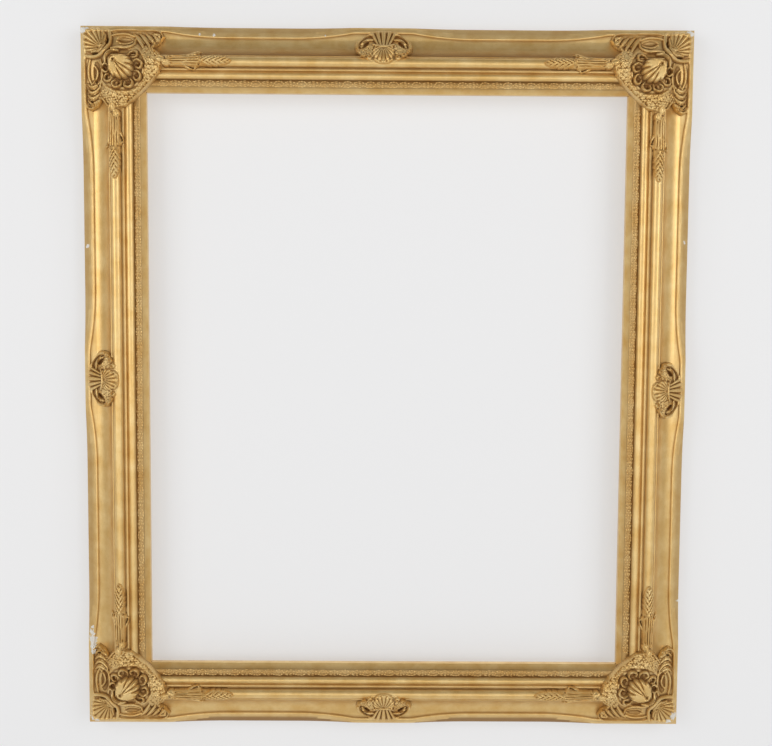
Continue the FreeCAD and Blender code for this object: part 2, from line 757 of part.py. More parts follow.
# Centre ornament, in shares of its reach inwards and of its half length along the rail.
centre_half_shares = [
    (0.05, 0.0), (0.06, 0.25), (0.09, 0.55), (0.2, 0.78), (0.34, 0.9), (0.46, 1.0),
    (0.64, 0.98), (0.76, 0.84), (0.9, 0.5), (1.0, 0.0),
]
centre_draw_share = 0.88
centre_middle_share = 0.58
centre_mound_shares = ((0.4, 0.76), (0.29, 0.6))
centre_mound_sides = 12
centre_band_shares = (((0.3, 0.68), (0.27, 0.62)), ((0.18, 0.44), (0.2, 0.5)))
centre_band_angles = (25, 310)
centre_band_sides = 10
centre_pearl_shares = (0.86, 0.1, 0.06)
centre_pearl_sides = 8
palmette_shares = (0.5, 0.1)
palmette_angles = [132, 156, 180, 204, 228]
palmette_dip = 5
centre_scroll_shares = (0.55, 0.7, 0.13, 0.06)
centre_scroll_angles = (-60, 240)
centre_scroll_sides = 6


def make_centre_casting():
    """Oval cartouche with a palmette on its outer side and a scroll at each end."""
    half, reach, plate = "(centre_length/2)", centre_reach, "centre_plate_height"
    trim_low = f"({plate} - casting_overlap)"
    outline = centre_half_shares + [(a, -b) for a, b in reversed(centre_half_shares[1:-1])]
    parts = [faceted("centre_plate", [
        ("side_height", outline_of(outline, reach, half)),
        (plate, outline_of(drawn_in(outline, (centre_middle_share, 0), centre_draw_share),
                           reach, half))])]
    middle = (of(reach, centre_middle_share), "0*centre_length")
    top = f"({torus_top} + centre_mound_rise)"
    parts.append(faceted("centre_mound", [
        (height, around(middle, (of(reach, shares[0]), of(half, shares[1])),
                        centre_mound_sides))
        for height, shares in ((trim_low, centre_mound_shares[0]),
                               (top, centre_mound_shares[1]))]))
    outer, inner = [[(of(reach, a), of(half, b)) for a, b in pair] for pair in centre_band_shares]
    parts.append(band("centre_band", middle, f"({top} - casting_overlap)",
                      f"({top} + casting_trim_rise)", outer, inner, centre_band_sides,
                      *centre_band_angles))
    place, foot, crest = centre_pearl_shares
    parts.append(faceted("centre_pearl", [
        (height, around((of(reach, place), middle[1]), (of(reach, share), of(reach, share)),
                        centre_pearl_sides))
        for height, share in ((f"({top} - 2*casting_overlap)", foot),
                              ("centre_top_height", crest))]))
    for k, angle in enumerate(palmette_angles):
        parts.append(rib(f"palmette_rib_{k}", middle[0], middle[1], trim_low,
                         f"({plate} + corner_fan_rise)", of(reach, palmette_shares[0]),
                         of(reach, palmette_shares[1]), angle, palmette_dip))
    near, far, outer_share, inner_share = centre_scroll_shares
    for tag, side, start in (("a", 1, centre_scroll_angles[0]),
                             ("b", -1, -centre_scroll_angles[0] - centre_scroll_angles[1])):
        radii = [(of(reach, share), of(reach, share)) for share in (outer_share, inner_share)]
        parts.append(band(f"centre_scroll_{tag}", (of(reach, near), of(half, far * side)),
                          trim_low, "centre_scroll_height", (radii[0], radii[0]),
                          (radii[1], radii[1]), centre_scroll_sides, start,
                          centre_scroll_angles[1]))
    return joined("centre_blank", parts)


corner_blank = make_corner_casting()
spray_blank, centre_blank = make_spray(), make_centre_casting()

# The blanks are stood up at the top left corner of an uncut length of the moulding, which
# is taken away from them, so that each casting lies on what carries it. The half of the
# corner ornament on that rail is then repeated across the diagonal.
corner_seats = []
for item in (make_rail("seat", outer_width, "0*rail_width", mitred=False),
             make_strip("seat", outer_width, mitred=False)):
    corner_seats.append(put(item, f"{outer_width}/2", "0", "0", turned(0, 180)))


def seated(name, blank, seats):
    """Take away from a casting all that it lies on."""
    for k, seat in enumerate(seats):
        blank = carved(f"{name}_on_{k}", blank, seat)
    return blank


def across_the_diagonal(name, item):
    """The same form mirrored to the other rail of the corner."""
    other = doc.addObject("Part::Mirroring", name)
    other.Source = item
    other.Normal = FreeCAD.Vector(1, 0, 1)
    return other


half_reach = f"({corner_reach} + cut_overrun)"
half_space = raised("corner_half_space", [
    ("-cut_overrun", "-cut_overrun"), ("-cut_overrun", half_reach), (half_reach, half_reach),
], "0", f"2*{torus_top}")
corner_half = doc.addObject("Part::Common", "corner_half")
corner_half.Base, corner_half.Tool = corner_blank, half_space
corner_half_seated = seated("corner_half", again(corner_half, "corner_half_stood",
                                                 turn=stood_up), corner_seats)
corner_casting = joined("corner_casting", [
    corner_half_seated,
    across_the_diagonal("corner_other_half", corner_half_seated),
])
level_spray = seated("level_spray", again(spray_blank, "spray_stood", turn=stood_up),
                     [corner_seats[0], corner_half_seated])
sprays = {"level": level_spray,
          "upright": across_the_diagonal("upright_spray", level_spray)}

nodes = {}
for side in rails:
    nodes[f"{side}_rail"] = rails[side]
    nodes[f"{side}_leaf_strip"] = strips[side]
nodes["mitre_nails"] = corner_nails
for corner, side_x, side_z, angle in corner_table:
    place = (f"{side_x}*{outer_width}/2", "0", f"{side_z}*{outer_height}/2", turned(angle))
    nodes[f"{corner}_ornament"] = again(corner_casting, f"{corner}_ornament", *place)
    for way, spray in sprays.items():
        # turned by a quarter, the level spray of the drawing runs upright
        name = way if angle % 180 == 0 else {"level": "upright", "upright": "level"}[way]
        label = f"{corner}_{name}_spray"
        nodes[label] = again(spray, label, *place)
for side, length, angle, across, up, shift in rail_table:
    run = {0: (shift, "0"), 90: ("0", f"-({shift})"), 180: (f"-({shift})", "0"),
           -90: ("0", shift)}[angle]
    stood = again(centre_blank, f"{side}_centre_stood", f"{across} + {run[0]}", "0",
                  f"{up} + {run[1]}", turned(angle).multiply(stood_up))
    label = f"{side}_centre_ornament"
    nodes[label] = carved(label, stood, mouldings[side])


button_tip_share = 0.45
button_corner_share = 0.6


def make_button():
    """A flat turn button with a bored pivot end, its pivot at the origin."""
    body = doc.addObject("PartDesign::Body", "turn_button")
    sketch = open_sketch(body, "button_outline", "XZ_Plane")
    half, far = "(button_width/2)", "(button_length - button_pivot_end)"
    tip, corner = f"({half}*{button_tip_share})", f"({half}*{button_corner_share})"
    sketch_path(sketch, [
        (f"{corner} - button_pivot_end", f"-{half}"), (f"{far} - {corner}", f"-{half}"),
        (far, f"-{tip}"), (far, tip), (f"{far} - {corner}", half),
        (f"{corner} - button_pivot_end", half), ("-button_pivot_end", tip),
        ("-button_pivot_end", f"-{tip}"),
    ])
    pad_along(body, sketch, "button_thickness", both_ways=False, reverse=True)
    bore = sketch_circle(open_sketch(body, "button_bore", "XZ_Plane"), "0", "0",
                         "screw_radius + screw_clearance")
    pocket = body.newObject("PartDesign::Pocket", "button_bore_pocket")
    pocket.Profile = bore
    pocket.Midplane = True
    bind(pocket, Length="4*button_thickness")
    return body


def make_strap():
    """A strap with two screw holes, curled round the ring's straight side at the origin."""
    body = bind(doc.addObject("Part::Box", "strap_plate"), Length="strap_width",
                Width="strap_thickness", Height="strap_length")
    put(body, "-strap_width/2", "0", "-strap_length")
    curl = round_bar("strap_curl", f"{curl_radius}", "strap_width", across="-strap_width/2",
                     depth=curl_radius, turn=FreeCAD.Rotation(FreeCAD.Vector(0, 1, 0), 90))
    holes = [round_bar("strap_bore", "ring_wire/2 + ring_clearance", "strap_width + cut_overrun",
                       across="-strap_width/2 - cut_overrun/2", depth=curl_radius,
                       turn=FreeCAD.Rotation(FreeCAD.Vector(0, 1, 0), 90))]
    for hole in ("strap_first_hole", "strap_last_hole"):
        holes.append(round_bar(f"{hole}_cut", "screw_radius + screw_clearance", "2*cut_overrun",
                               depth="cut_overrun", up=f"-{hole}", turn=facing_front))
    return carved("strap", joined("strap_blank", [body, curl]),
                  grouped("strap_holes", holes))


curl_radius = "(ring_wire/2 + ring_clearance + strap_thickness)"
wire_sides = 8


def make_ring():
    """A D-shaped ring: a round straight side in the curl, and an eight-sided bow."""
    half = "(ring_width/2 - ring_wire/2)"
    drop = f"(ring_length - ring_wire - {half})"
    body = doc.addObject("PartDesign::Body", "ring_bow")
    line = open_sketch(body, "ring_line", "XZ_Plane")
    sketch_path(line, [
        (f"-{half}", "ring_wire/2"),
        (f"-{half}", f"-{drop}", arc_radius(f"2*{half}", f"0.98*{half}"), -1),
        (half, f"-{drop}"), (half, "ring_wire/2"),
    ], closed=False)
    wire = open_sketch(body, "ring_section", "XY_Plane", "ring_wire/2")
    sketch_path(wire, around((f"-{half}", "0*ring_wire"), ("ring_wire/2", "ring_wire/2"),
                             wire_sides, 180 / wire_sides))
    doc.recompute()
    pipe = body.newObject("PartDesign::AdditivePipe", "ring_pipe")
    pipe.Profile = wire
    pipe.Spine = (line, ["Edge1", "Edge2", "Edge3"])
    side = round_bar("ring_side", "ring_wire/2", f"2*{half}", across=f"-{half}",
                     turn=FreeCAD.Rotation(FreeCAD.Vector(0, 1, 0), 90))
    return joined("ring", [body, side])


button, strap, ring = make_button(), make_strap(), make_ring()
for name, across, up, angle in button_table:
    label = f"{name}_turn_button"
    nodes[label] = again(button, label, across, "button_gap", up, turned(angle))
nodes["turn_button_screws"] = grouped("turn_button_screws", button_screws)
for name, across in hanger_table:
    for kind, item, depth in (("strap", strap, "0"), ("ring", ring, curl_radius)):
        label = f"{name}_hanger_{kind}"
        nodes[label] = again(item, label, across, depth, "hanger_height")
nodes["hanger_screws"] = grouped("hanger_screws", hanger_screws)
bumpers = [
    taper(f"{side}_bumper", "bumper_radius", "bumper_top_radius", "bumper_height",
          across=f"{sign}*({outer_width}/2 - bumper_side_inset)",
          up=f"bumper_inset - {outer_height}/2", turn=facing_wall)
    for side, sign in (("left", -1), ("right", 1))
]
nodes["wall_bumpers"] = grouped("wall_bumpers", bumpers)

doc.recompute()
failed = [item.Name for item in doc.Objects if {"Invalid", "Error"} & set(item.State)]
if failed:
    raise RuntimeError(f"failed to build: {failed}")
for name, item in nodes.items():
    item.Label = name
    shape = item.Shape
    if shape.isNull() or not shape.isValid() or not shape.Solids:
        raise RuntimeError(f"{name} has no valid solid")

os.makedirs("parts", exist_ok=True)
for name, item in nodes.items():
    item.Shape.exportStep(f"parts/{name}.step")
    print(name, len(item.Shape.Solids), "solid(s)", round(item.Shape.Volume), "mm3")
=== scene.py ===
import math

import bmesh
import bpy
import numpy as np
from mathutils import Matrix, Vector


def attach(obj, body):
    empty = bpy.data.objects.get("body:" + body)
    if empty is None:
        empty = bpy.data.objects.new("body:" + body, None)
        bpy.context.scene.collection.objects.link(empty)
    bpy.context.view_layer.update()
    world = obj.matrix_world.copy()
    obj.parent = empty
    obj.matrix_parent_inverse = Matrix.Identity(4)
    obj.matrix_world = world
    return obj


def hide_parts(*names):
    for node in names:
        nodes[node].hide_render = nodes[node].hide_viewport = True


# A gilded swept frame: moulded rails, laid leaf strips, cast corner and centre
# ornaments and bud sprays, with the hanging and holding hardware on its back.
# Sizes are in millimetres, and become metres where a mesh is made.

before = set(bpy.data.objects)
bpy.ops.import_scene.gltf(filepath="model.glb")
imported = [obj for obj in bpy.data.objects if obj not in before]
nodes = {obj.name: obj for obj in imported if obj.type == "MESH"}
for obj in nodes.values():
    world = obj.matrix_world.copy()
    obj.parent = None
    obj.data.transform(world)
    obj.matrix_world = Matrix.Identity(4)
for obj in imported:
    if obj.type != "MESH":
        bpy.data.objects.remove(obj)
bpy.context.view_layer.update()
print("frame loaded:", len(nodes), "nodes")

mm = 0.001
outer = {"width": 632.0, "height": 734.0}
black, white = (0, 0, 0, 1), (1, 1, 1, 1)


def hexColor(text):
    # sRGB hex to linear
    parts = [int(text[k:k + 2], 16) / 255 for k in (1, 3, 5)]
    return [v / 12.92 if v < 0.04045 else ((v + 0.055) / 1.055) ** 2.4 for v in parts] + [1.0]


# Camera

camera = {
    "place": (-7.22, -1167.58, 95.94),
    "pitch": 4.20, "yaw": -0.371, "roll": 0.37,  # degrees
    "focalPixels": 1100.0, "imageWidth": 772.0, "sensor": 36.0,
}


def makeCamera():
    pitch, yaw, roll = (math.radians(camera[k]) for k in ("pitch", "yaw", "roll"))
    level = Matrix(((1, 0, 0), (0, 0, -1), (0, 1, 0)))  # right, down and forward
    look = (Matrix.Rotation(roll, 3, "Z") @ Matrix.Rotation(pitch, 3, "X")
            @ Matrix.Rotation(yaw, 3, "Y") @ level)
    axes = Matrix((look[0], -look[1], -look[2])).transposed()
    data = bpy.data.cameras.new("photoCamera")
    data.sensor_width = camera["sensor"]
    data.lens = camera["focalPixels"] / camera["imageWidth"] * camera["sensor"]
    data.clip_start, data.clip_end = 0.01, 50
    cam = bpy.data.objects.new("photoCamera", data)
    cam.matrix_world = Matrix.Translation(Vector(camera["place"]) * mm) @ axes.to_4x4()
    bpy.context.scene.collection.objects.link(cam)
    bpy.context.scene.camera = cam


makeCamera()
print("camera set")


# Materials

def addNode(tree, kind, inputs=None, stops=(), **settings):
    # one node; an input, by name or number, is a plain value or a socket to link
    node = tree.nodes.new(kind)
    for name, value in settings.items():
        setattr(node, name, value)
    for name, value in (inputs or {}).items():
        if isinstance(value, bpy.types.NodeSocket):
            tree.links.new(value, node.inputs[name])
        else:
            node.inputs[name].default_value = value
    while stops and len(node.color_ramp.elements) < len(stops):
        node.color_ramp.elements.new(0.5)
    for k, (place, color) in enumerate(stops):
        node.color_ramp.elements[k].position = place
        node.color_ramp.elements[k].color = color
    return node


def startMaterial(name):
    material = bpy.data.materials.new(name)
    material.use_nodes = True
    tree = material.node_tree
    tree.nodes.clear()
    return material, tree


gilt = {
    "leaf": "#E6C88B",       # the metal leaf where it is rubbed bright
    "body": "#D3A962",       # the leaf under its toned lacquer
    "toningAndShade": "#7E5426",     # brown glaze left in the hollows, and painted shade in recesses and on faces turned from the light
    "dirt": "#5F431F",
    "gesso": "#DDD8CE",      # chalk ground that shows in chips
    "glazeAndShade": 0.85,           # how much of the toning colour, glaze and painted shade together, covers the deepest hollow
    "specks": 0.35,          # how dark the specks are
    "tear": 1.6,             # how ragged the edge of a chip is
    "metallic": 0.68, "roughness": 0.37,
    "cloudSheen": 0.16,      # how far the clouds spread the roughness
    "toningSheen": 0.18,     # how much duller the toning colour, glaze and painted shade, is
    "mottle": 9.0,           # mm across a light or dark cloud of uneven lacquer
    "grain": 1.1,            # mm across the fine unevenness of the leaf, drawn a little coarse
    "speck": 2.4,            # mm between dark specks
}


def giltMaterial(name, toned=0.0, bumpHeight=0.12):
    # Imitation gold leaf on gesso under a brown-toned lacquer, rubbed back by hand: a soft
    # satin metal, warmer and darker in the hollows, where the brown toning is partly glaze and
    # partly painted shade, paler on the ridges, white where chipped.
    material, tree = startMaterial(name)
    place = addNode(tree, "ShaderNodeTexCoord").outputs["Object"]
    cloud, grain = [addNode(tree, "ShaderNodeTexNoise", {
        "Vector": place, "Scale": 1000 / gilt[size] / 2, "Detail": detail,
        "Roughness": roughness}).outputs["Fac"]
        for size, detail, roughness in (("mottle", 4.0, 0.6), ("grain", 3.0, 0.55))]
    speck = addNode(tree, "ShaderNodeTexVoronoi", {
        "Vector": place, "Scale": 1000 / gilt["speck"], "Randomness": 1.0}).outputs["Distance"]
    hollow, worn = [addNode(tree, "ShaderNodeAttribute", attribute_name=field).outputs["Fac"]
                    for field in ("hollow", "chip")]
    # the toning colour's share from each point's hollow value: glaze and painted shade
    deep = addNode(tree, "ShaderNodeMath", {0: hollow, 1: gilt["glazeAndShade"], 2: toned},
                   operation="MULTIPLY_ADD", use_clamp=True).outputs[0]
    spots = addNode(tree, "ShaderNodeValToRGB", {"Fac": speck}, [
        (0.05, [gilt["specks"]] * 3 + [1]), (0.13, black)]).outputs["Color"]
    # clouds and grain tear the edge of a chip
    torn = addNode(tree, "ShaderNodeMath", {0: cloud, 1: gilt["tear"], 2: worn},
                   operation="MULTIPLY_ADD").outputs[0]
    torn = addNode(tree, "ShaderNodeMath", {0: torn, 1: grain}, operation="ADD").outputs[0]
    torn = addNode(tree, "ShaderNodeMath", {0: torn, 1: (gilt["tear"] + 1) / 2},
                   operation="SUBTRACT").outputs[0]
    bare = addNode(tree, "ShaderNodeValToRGB", {"Fac": torn}, [
        (0.66, black), (0.70, white)]).outputs["Color"]
    tone = addNode(tree, "ShaderNodeValToRGB", {"Fac": cloud}, [
        (0.30, hexColor(gilt["body"])), (0.72, hexColor(gilt["leaf"]))]).outputs["Color"]
    for share, color in ((deep, "toningAndShade"), (spots, "dirt"), (bare, "gesso")):
        tone = addNode(tree, "ShaderNodeMix", {0: share, 6: tone, 7: hexColor(gilt[color])},
                       data_type="RGBA").outputs[2]
    metal = addNode(tree, "ShaderNodeMath", {0: bare, 1: -gilt["metallic"], 2: gilt["metallic"]},
                    operation="MULTIPLY_ADD").outputs[0]
    rough = addNode(tree, "ShaderNodeMath", {
        0: cloud, 1: gilt["cloudSheen"], 2: gilt["roughness"] - gilt["cloudSheen"] / 2},
                    operation="MULTIPLY_ADD").outputs[0]
    rough = addNode(tree, "ShaderNodeMath", {0: deep, 1: gilt["toningSheen"], 2: rough},
                    operation="MULTIPLY_ADD", use_clamp=True).outputs[0]
    bump = addNode(tree, "ShaderNodeBump", {
        "Height": grain, "Strength": 0.5, "Distance": bumpHeight * mm}).outputs["Normal"]
    shader = addNode(tree, "ShaderNodeBsdfPrincipled", {
        "Base Color": tone, "Metallic": metal, "Roughness": rough, "Normal": bump})
    addNode(tree, "ShaderNodeOutputMaterial", {"Surface": shader.outputs["BSDF"]})
    return material


steel = {
    "bloom": "#E3E1DC", "zinc": "#A9A8A2", "bright": "#B8B7B2",
    "bloomSheen": 0.3,       # how far the bloom spreads the roughness
    "bloomHeight": 0.03,     # mm
}


def steelMaterial(name, color, roughness, cloudSize):
    # Zinc-plated mild steel, tumbled: a grey metal with a faint cloudy bloom.
    material, tree = startMaterial(name)
    place = addNode(tree, "ShaderNodeTexCoord").outputs["Object"]
    bloom = addNode(tree, "ShaderNodeTexNoise", {
        "Vector": place, "Scale": 1000 / cloudSize, "Detail": 5.0}).outputs["Fac"]
    tone = addNode(tree, "ShaderNodeValToRGB", {"Fac": bloom}, [
        (0.3, hexColor(steel[color])), (0.75, hexColor(steel["bloom"]))]).outputs["Color"]
    rough = addNode(tree, "ShaderNodeMath", {
        0: bloom, 1: steel["bloomSheen"], 2: roughness - steel["bloomSheen"] / 2},
                    operation="MULTIPLY_ADD").outputs[0]
    bump = addNode(tree, "ShaderNodeBump", {
        "Height": bloom, "Strength": 0.2,
        "Distance": steel["bloomHeight"] * mm}).outputs["Normal"]
    shader = addNode(tree, "ShaderNodeBsdfPrincipled", {
        "Base Color": tone, "Metallic": 1.0, "Roughness": rough, "Normal": bump})
    addNode(tree, "ShaderNodeOutputMaterial", {"Surface": shader.outputs["BSDF"]})
    return material


rubber = {"black": "#232220", "dust": "#3B3935", "dustScale": 900.0, "roughness": 0.85}


def rubberMaterial():
    # Moulded soft rubber: matt, nearly black, with a fine dusty unevenness.
    material, tree = startMaterial("bumperRubber")
    place = addNode(tree, "ShaderNodeTexCoord").outputs["Object"]
    dust = addNode(tree, "ShaderNodeTexNoise", {
        "Vector": place, "Scale": rubber["dustScale"], "Detail": 4.0}).outputs["Fac"]
    tone = addNode(tree, "ShaderNodeValToRGB", {"Fac": dust}, [
        (0.35, hexColor(rubber["black"])), (0.8, hexColor(rubber["dust"]))]).outputs["Color"]
    shader = addNode(tree, "ShaderNodeBsdfPrincipled", {
        "Base Color": tone, "Roughness": rubber["roughness"]})
    addNode(tree, "ShaderNodeOutputMaterial", {"Surface": shader.outputs["BSDF"]})
    return material


pine = {
    "late": "#A9824F", "early": "#CDAE7C", "pale": "#DCC59A",
    "sawMarks": 0.15,                   # mm
    "along": 14.0, "across": 300.0,     # grain streaks to the metre, along the rail and across
}


def pineMaterial(name, stretch):
    # Bare sawn pine on the back of the rails: pale, dull, with darker grain along the rail.
    material, tree = startMaterial(name)
    place = addNode(tree, "ShaderNodeTexCoord").outputs["Object"]
    drawn = addNode(tree, "ShaderNodeMapping", {
        "Vector": place, "Scale": [pine[way] for way in stretch]}).outputs["Vector"]
    grain = addNode(tree, "ShaderNodeTexNoise", {
        "Vector": drawn, "Scale": 1.0, "Detail": 6.0, "Roughness": 0.65,
        "Distortion": 0.4}).outputs["Fac"]
    tone = addNode(tree, "ShaderNodeValToRGB", {"Fac": grain}, [
        (0.28, hexColor(pine["late"])), (0.5, hexColor(pine["early"])),
        (0.75, hexColor(pine["pale"]))]).outputs["Color"]
    bump = addNode(tree, "ShaderNodeBump", {
        "Height": grain, "Strength": 0.5,
        "Distance": pine["sawMarks"] * mm}).outputs["Normal"]
    shader = addNode(tree, "ShaderNodeBsdfPrincipled", {
        "Base Color": tone, "Roughness": 0.8, "Normal": bump})
    addNode(tree, "ShaderNodeOutputMaterial", {"Surface": shader.outputs["BSDF"]})
    return material


giltMoulding = giltMaterial("giltMoulding")
giltOrnament = giltMaterial("giltOrnament", toned=0.04, bumpHeight=0.16)
giltStrip = giltMaterial("giltStrip", toned=0.05, bumpHeight=0.14)
zincSteel = steelMaterial("zincSteel", "zinc", 0.42, 6.0)
brightSteel = steelMaterial("brightSteel", "bright", 0.34, 3.0)
bumperRubber = rubberMaterial()
pineLevel = pineMaterial("sawnPineLevel", ("along", "across", "across"))
pineUpright = pineMaterial("sawnPineUpright", ("across", "across", "along"))
print("materials made")


# Rails

rail = {
    "width": 68.0, "sideHeight": 8.0, "rimHeight": 15.6, "beadRadius": 1.7, "rimStep": 0.4,
    "rimMid": 9.3, "rimEnd": 3.5, "coveStart": 13.5, "coveEnd": 32.4, "coveHeight": 32.4,
    "coveHollow": 3.5, "torusStart": 33.8, "torusEnd": 44.2, "torusFoot": 31.6,
    "torusRise": 4.7, "grooveEnd": 45.2, "grooveHeight": 29.2, "filletEnd": 47.2,
    "filletHeight": 30.2, "cushionStart": 48.0, "cushionEnd": 56.2, "cushionFoot": 28.4,
    "cushionRise": 3.0, "channelEnd": 63.6, "channelHeight": 24.4, "bevelHeight": 25.6,
    "sightHeight": 20.0, "sightEdge": 0.6, "rebateDepth": 12.0, "rebateStart": 62.0,
    "sweepLength": 66.0, "turnRadius": 50.0, "cornerHidden": 84.0, "centreHidden": 26.0,
    "softEdge": 0.35, "stationStep": 3.0, "mitreStations": 24,
    "beadSteps": 8, "coveSteps": 22, "torusSteps": 18, "cushionSteps": 12,
    "waves": [(5, 0.05), (17, 0.03), (43, 0.015)],  # along a rail, and their height in mm
    "wavesFrom": 13.0,                  # the height above which the gesso is uneven
    "sawnUpTo": 0.3,                    # the back, and the rebate's floor, are left sawn
}
# where the rail takes the toning colour: partly a glaze in its grooves, cove and flank, partly
# painted shade
toningAndShade = {
    # along the moulding's lines: the line, a shift from it, the reach and the depth
    "lines": [("rimEnd", 0, 1.2, 0.3), ("torusStart", -0.7, 1.5, 0.5),
              ("torusEnd", 0.4, 1.4, 0.9), ("cushionStart", -0.3, 1.0, 0.35),
              ("cushionEnd", 0.2, 1.3, 0.8), ("channelEnd", -0.3, 1.0, 0.6)],
    "bead": 0.7, "beadReach": 1.3,
    # the cove darker towards the torus; on the top rail much darker, as painted shade
    "coveFrom": 20.0, "coveReach": 12.5, "cove": 0.3, "coveTopShade": 0.95,
    "uprightsLitShare": 0.55,                   # the share of all this on the left and right rails, kept lighter as painted light from the side lamps
    # the outer flank below edgeHeight; the bottom rail's, facing down, much darker as painted shade
    "edge": 0.35, "edgeBottomShade": 0.9, "edgeHeight": 12.3,
}
sides = {  # rail: length, shift of its centre ornament
    "top": (outer["width"], -4.4), "right": (outer["height"], -4.8),
    "bottom": (outer["width"], 0.0), "left": (outer["height"], 4.0),
}


def standOn(side, along, inset, height):
    # a rail's own measures to the frame's axes, in metres
    halfWide, halfTall = outer["width"] / 2, outer["height"] / 2
    along, inset, height = np.broadcast_arrays(along, inset, height)
    if side == "top":
        spot = (along, -height, halfTall - inset)
    elif side == "bottom":
        spot = (along, -height, inset - halfTall)
    elif side == "left":
        spot = (inset - halfWide, -height, along)
    else:
        spot = (halfWide - inset, -height, along)
    return np.stack(spot, axis=-1) * mm


def rimInset(along, length, shift):
    # how far the rim lies inside the outer edge: out at the ornaments, drawn in between
    along = np.asarray(along, float)
    rise = rail["rimMid"] - rail["rimEnd"]
    angle = 2 * math.atan(rise / rail["sweepLength"])
    turn, sweep = rail["turnRadius"], rail["sweepLength"] / math.sin(angle) - rail["turnRadius"]
    result = np.full(along.shape, rail["rimEnd"])
    spans = [(-length / 2 + rail["cornerHidden"], shift - rail["centreHidden"]),
             (shift + rail["centreHidden"], length / 2 - rail["cornerHidden"])]
    for start, stop in spans:
        near = np.minimum(along - start, stop - along)
        turning = rail["rimEnd"] + turn - np.sqrt(np.maximum(turn**2 - near**2, 0))
        left = np.maximum(rail["sweepLength"] - near, 0)
        easing = rail["rimMid"] - sweep + np.sqrt(np.maximum(sweep**2 - left**2, 0))
        line = np.where(near < turn * math.sin(angle), turning, easing)
        result = np.where(near > 0, line, result)
    return result


def arcPoints(start, stop, rise, count):
    # points of the arc over a chord, bulging to the left of its direction by rise
    (x0, y0), (x1, y1) = start, stop
    chord = math.hypot(x1 - x0, y1 - y0)
    radius = (chord**2 / 4 + rise**2) / (2 * abs(rise))
    half = math.asin(min(1, chord / 2 / radius))
    side = 1 if rise > 0 else -1
    ux, uy = (x1 - x0) / chord, (y1 - y0) / chord
    points = []
    for k in range(count + 1):
        t = -half + 2 * half * k / count
        reach = radius * math.sin(t) + chord / 2
        lift = side * (radius * math.cos(t) - radius * math.cos(half))
        points.append((x0 + ux * reach - uy * lift, y0 + uy * reach + ux * lift))
    return points


def frontLine(rim):
    # the moulded front of the section, from the outer edge to the sight edge
    slope = (rail["rimHeight"] - rail["sideHeight"]) / rail["rimMid"]
    flat = rail["rimHeight"]
    side = flat - slope * rim
    first = rim + rail["rimStep"]
    last = first + 2 * rail["beadRadius"]
    points = [(0, side), (rim * 0.5, (side + flat) / 2), (rim, flat)]
    points += arcPoints((first, flat), (last, flat), rail["beadRadius"] * 0.999,
                        rail["beadSteps"])
    points += [(last + rail["rimStep"], flat), ((last + rail["coveStart"]) / 2 + 0.3, flat)]
    points += arcPoints((rail["coveStart"], flat), (rail["coveEnd"], rail["coveHeight"]),
                        -rail["coveHollow"], rail["coveSteps"])
    points += [(rail["torusStart"], rail["coveHeight"])]
    points += arcPoints((rail["torusStart"], rail["torusFoot"]),
                        (rail["torusEnd"], rail["torusFoot"]), rail["torusRise"],
                        rail["torusSteps"])
    points += [
        (rail["torusEnd"], rail["grooveHeight"]), (rail["grooveEnd"], rail["grooveHeight"]),
        (rail["grooveEnd"], rail["filletHeight"]), (rail["filletEnd"], rail["filletHeight"])]
    points += arcPoints((rail["cushionStart"], rail["cushionFoot"]),
                        (rail["cushionEnd"], rail["cushionFoot"]), rail["cushionRise"],
                        rail["cushionSteps"])
    return points + [
        (rail["cushionEnd"], rail["channelHeight"]), (rail["channelEnd"], rail["channelHeight"]),
        (rail["channelEnd"], rail["bevelHeight"]),
        (rail["width"] - rail["sightEdge"], rail["sightHeight"]),
        (rail["width"], rail["sightHeight"] - rail["sightEdge"])]


def railProfile(rim):
    # the whole section, from the back of the outer edge round the front to the rebate
    front = frontLine(rim)
    points = [(0, 0), (0, front[0][1] * 0.5)] + front + [
        (rail["width"], rail["rebateDepth"]), (rail["rebateStart"], rail["rebateDepth"]),
        (rail["rebateStart"], 0)]
    return softened(points, rail["softEdge"])


def softened(points, radius):
    # every corner of a closed section becomes three points, as gesso rounds it
    result = []
    count = len(points)
    for k, (x, y) in enumerate(points):
        ends = []
        for other in (points[k - 1], points[(k + 1) % count]):
            dx, dy = other[0] - x, other[1] - y
            reach = math.hypot(dx, dy) or 1
            step = min(radius, reach * 0.3)
            ends.append((x + dx / reach * step, y + dy / reach * step))
        (ax, ay), (bx, by) = ends
        result += [(ax, ay), (x * 0.5 + (ax + bx) / 4, y * 0.5 + (ay + by) / 4), (bx, by)]
    return result


def plainMesh(name, points, faces, smooth=50):
    # a mesh from points in metres, smooth but for its sharp edges, normals outwards
    mesh = bpy.data.meshes.new(name)
    mesh.from_pydata([tuple(p) for p in points], [], faces)
    built = bmesh.new()
    built.from_mesh(mesh)
    bmesh.ops.recalc_face_normals(built, faces=built.faces)
    built.to_mesh(mesh)
    built.free()
    mesh.shade_smooth()
    if smooth:
        mesh.set_sharp_from_angle(angle=math.radians(smooth))
    return mesh


def shownObject(name, mesh, material, replaced):
    # a finished piece in place of the solids it replaces
    piece = bpy.data.objects.new(name, mesh)
    bpy.context.scene.collection.objects.link(piece)
    mesh.materials.clear()
    mesh.materials.append(material)
    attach(piece, "root")
    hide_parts(*replaced)


def pointValues(mesh, name, values):
    # a named value on every point, which the materials read
    layer = mesh.attributes.new(name, "FLOAT", "POINT")
    layer.data.foreach_set("value", np.asarray(values, np.float32).ravel())


def tube(columns, rows):
    # quads between neighbouring closed columns of a lofted grid
    faces = []
    for c in range(columns - 1):
        for r in range(rows):
            s = (r + 1) % rows
            faces.append((c * rows + r, c * rows + s, (c + 1) * rows + s, (c + 1) * rows + r))
    return faces


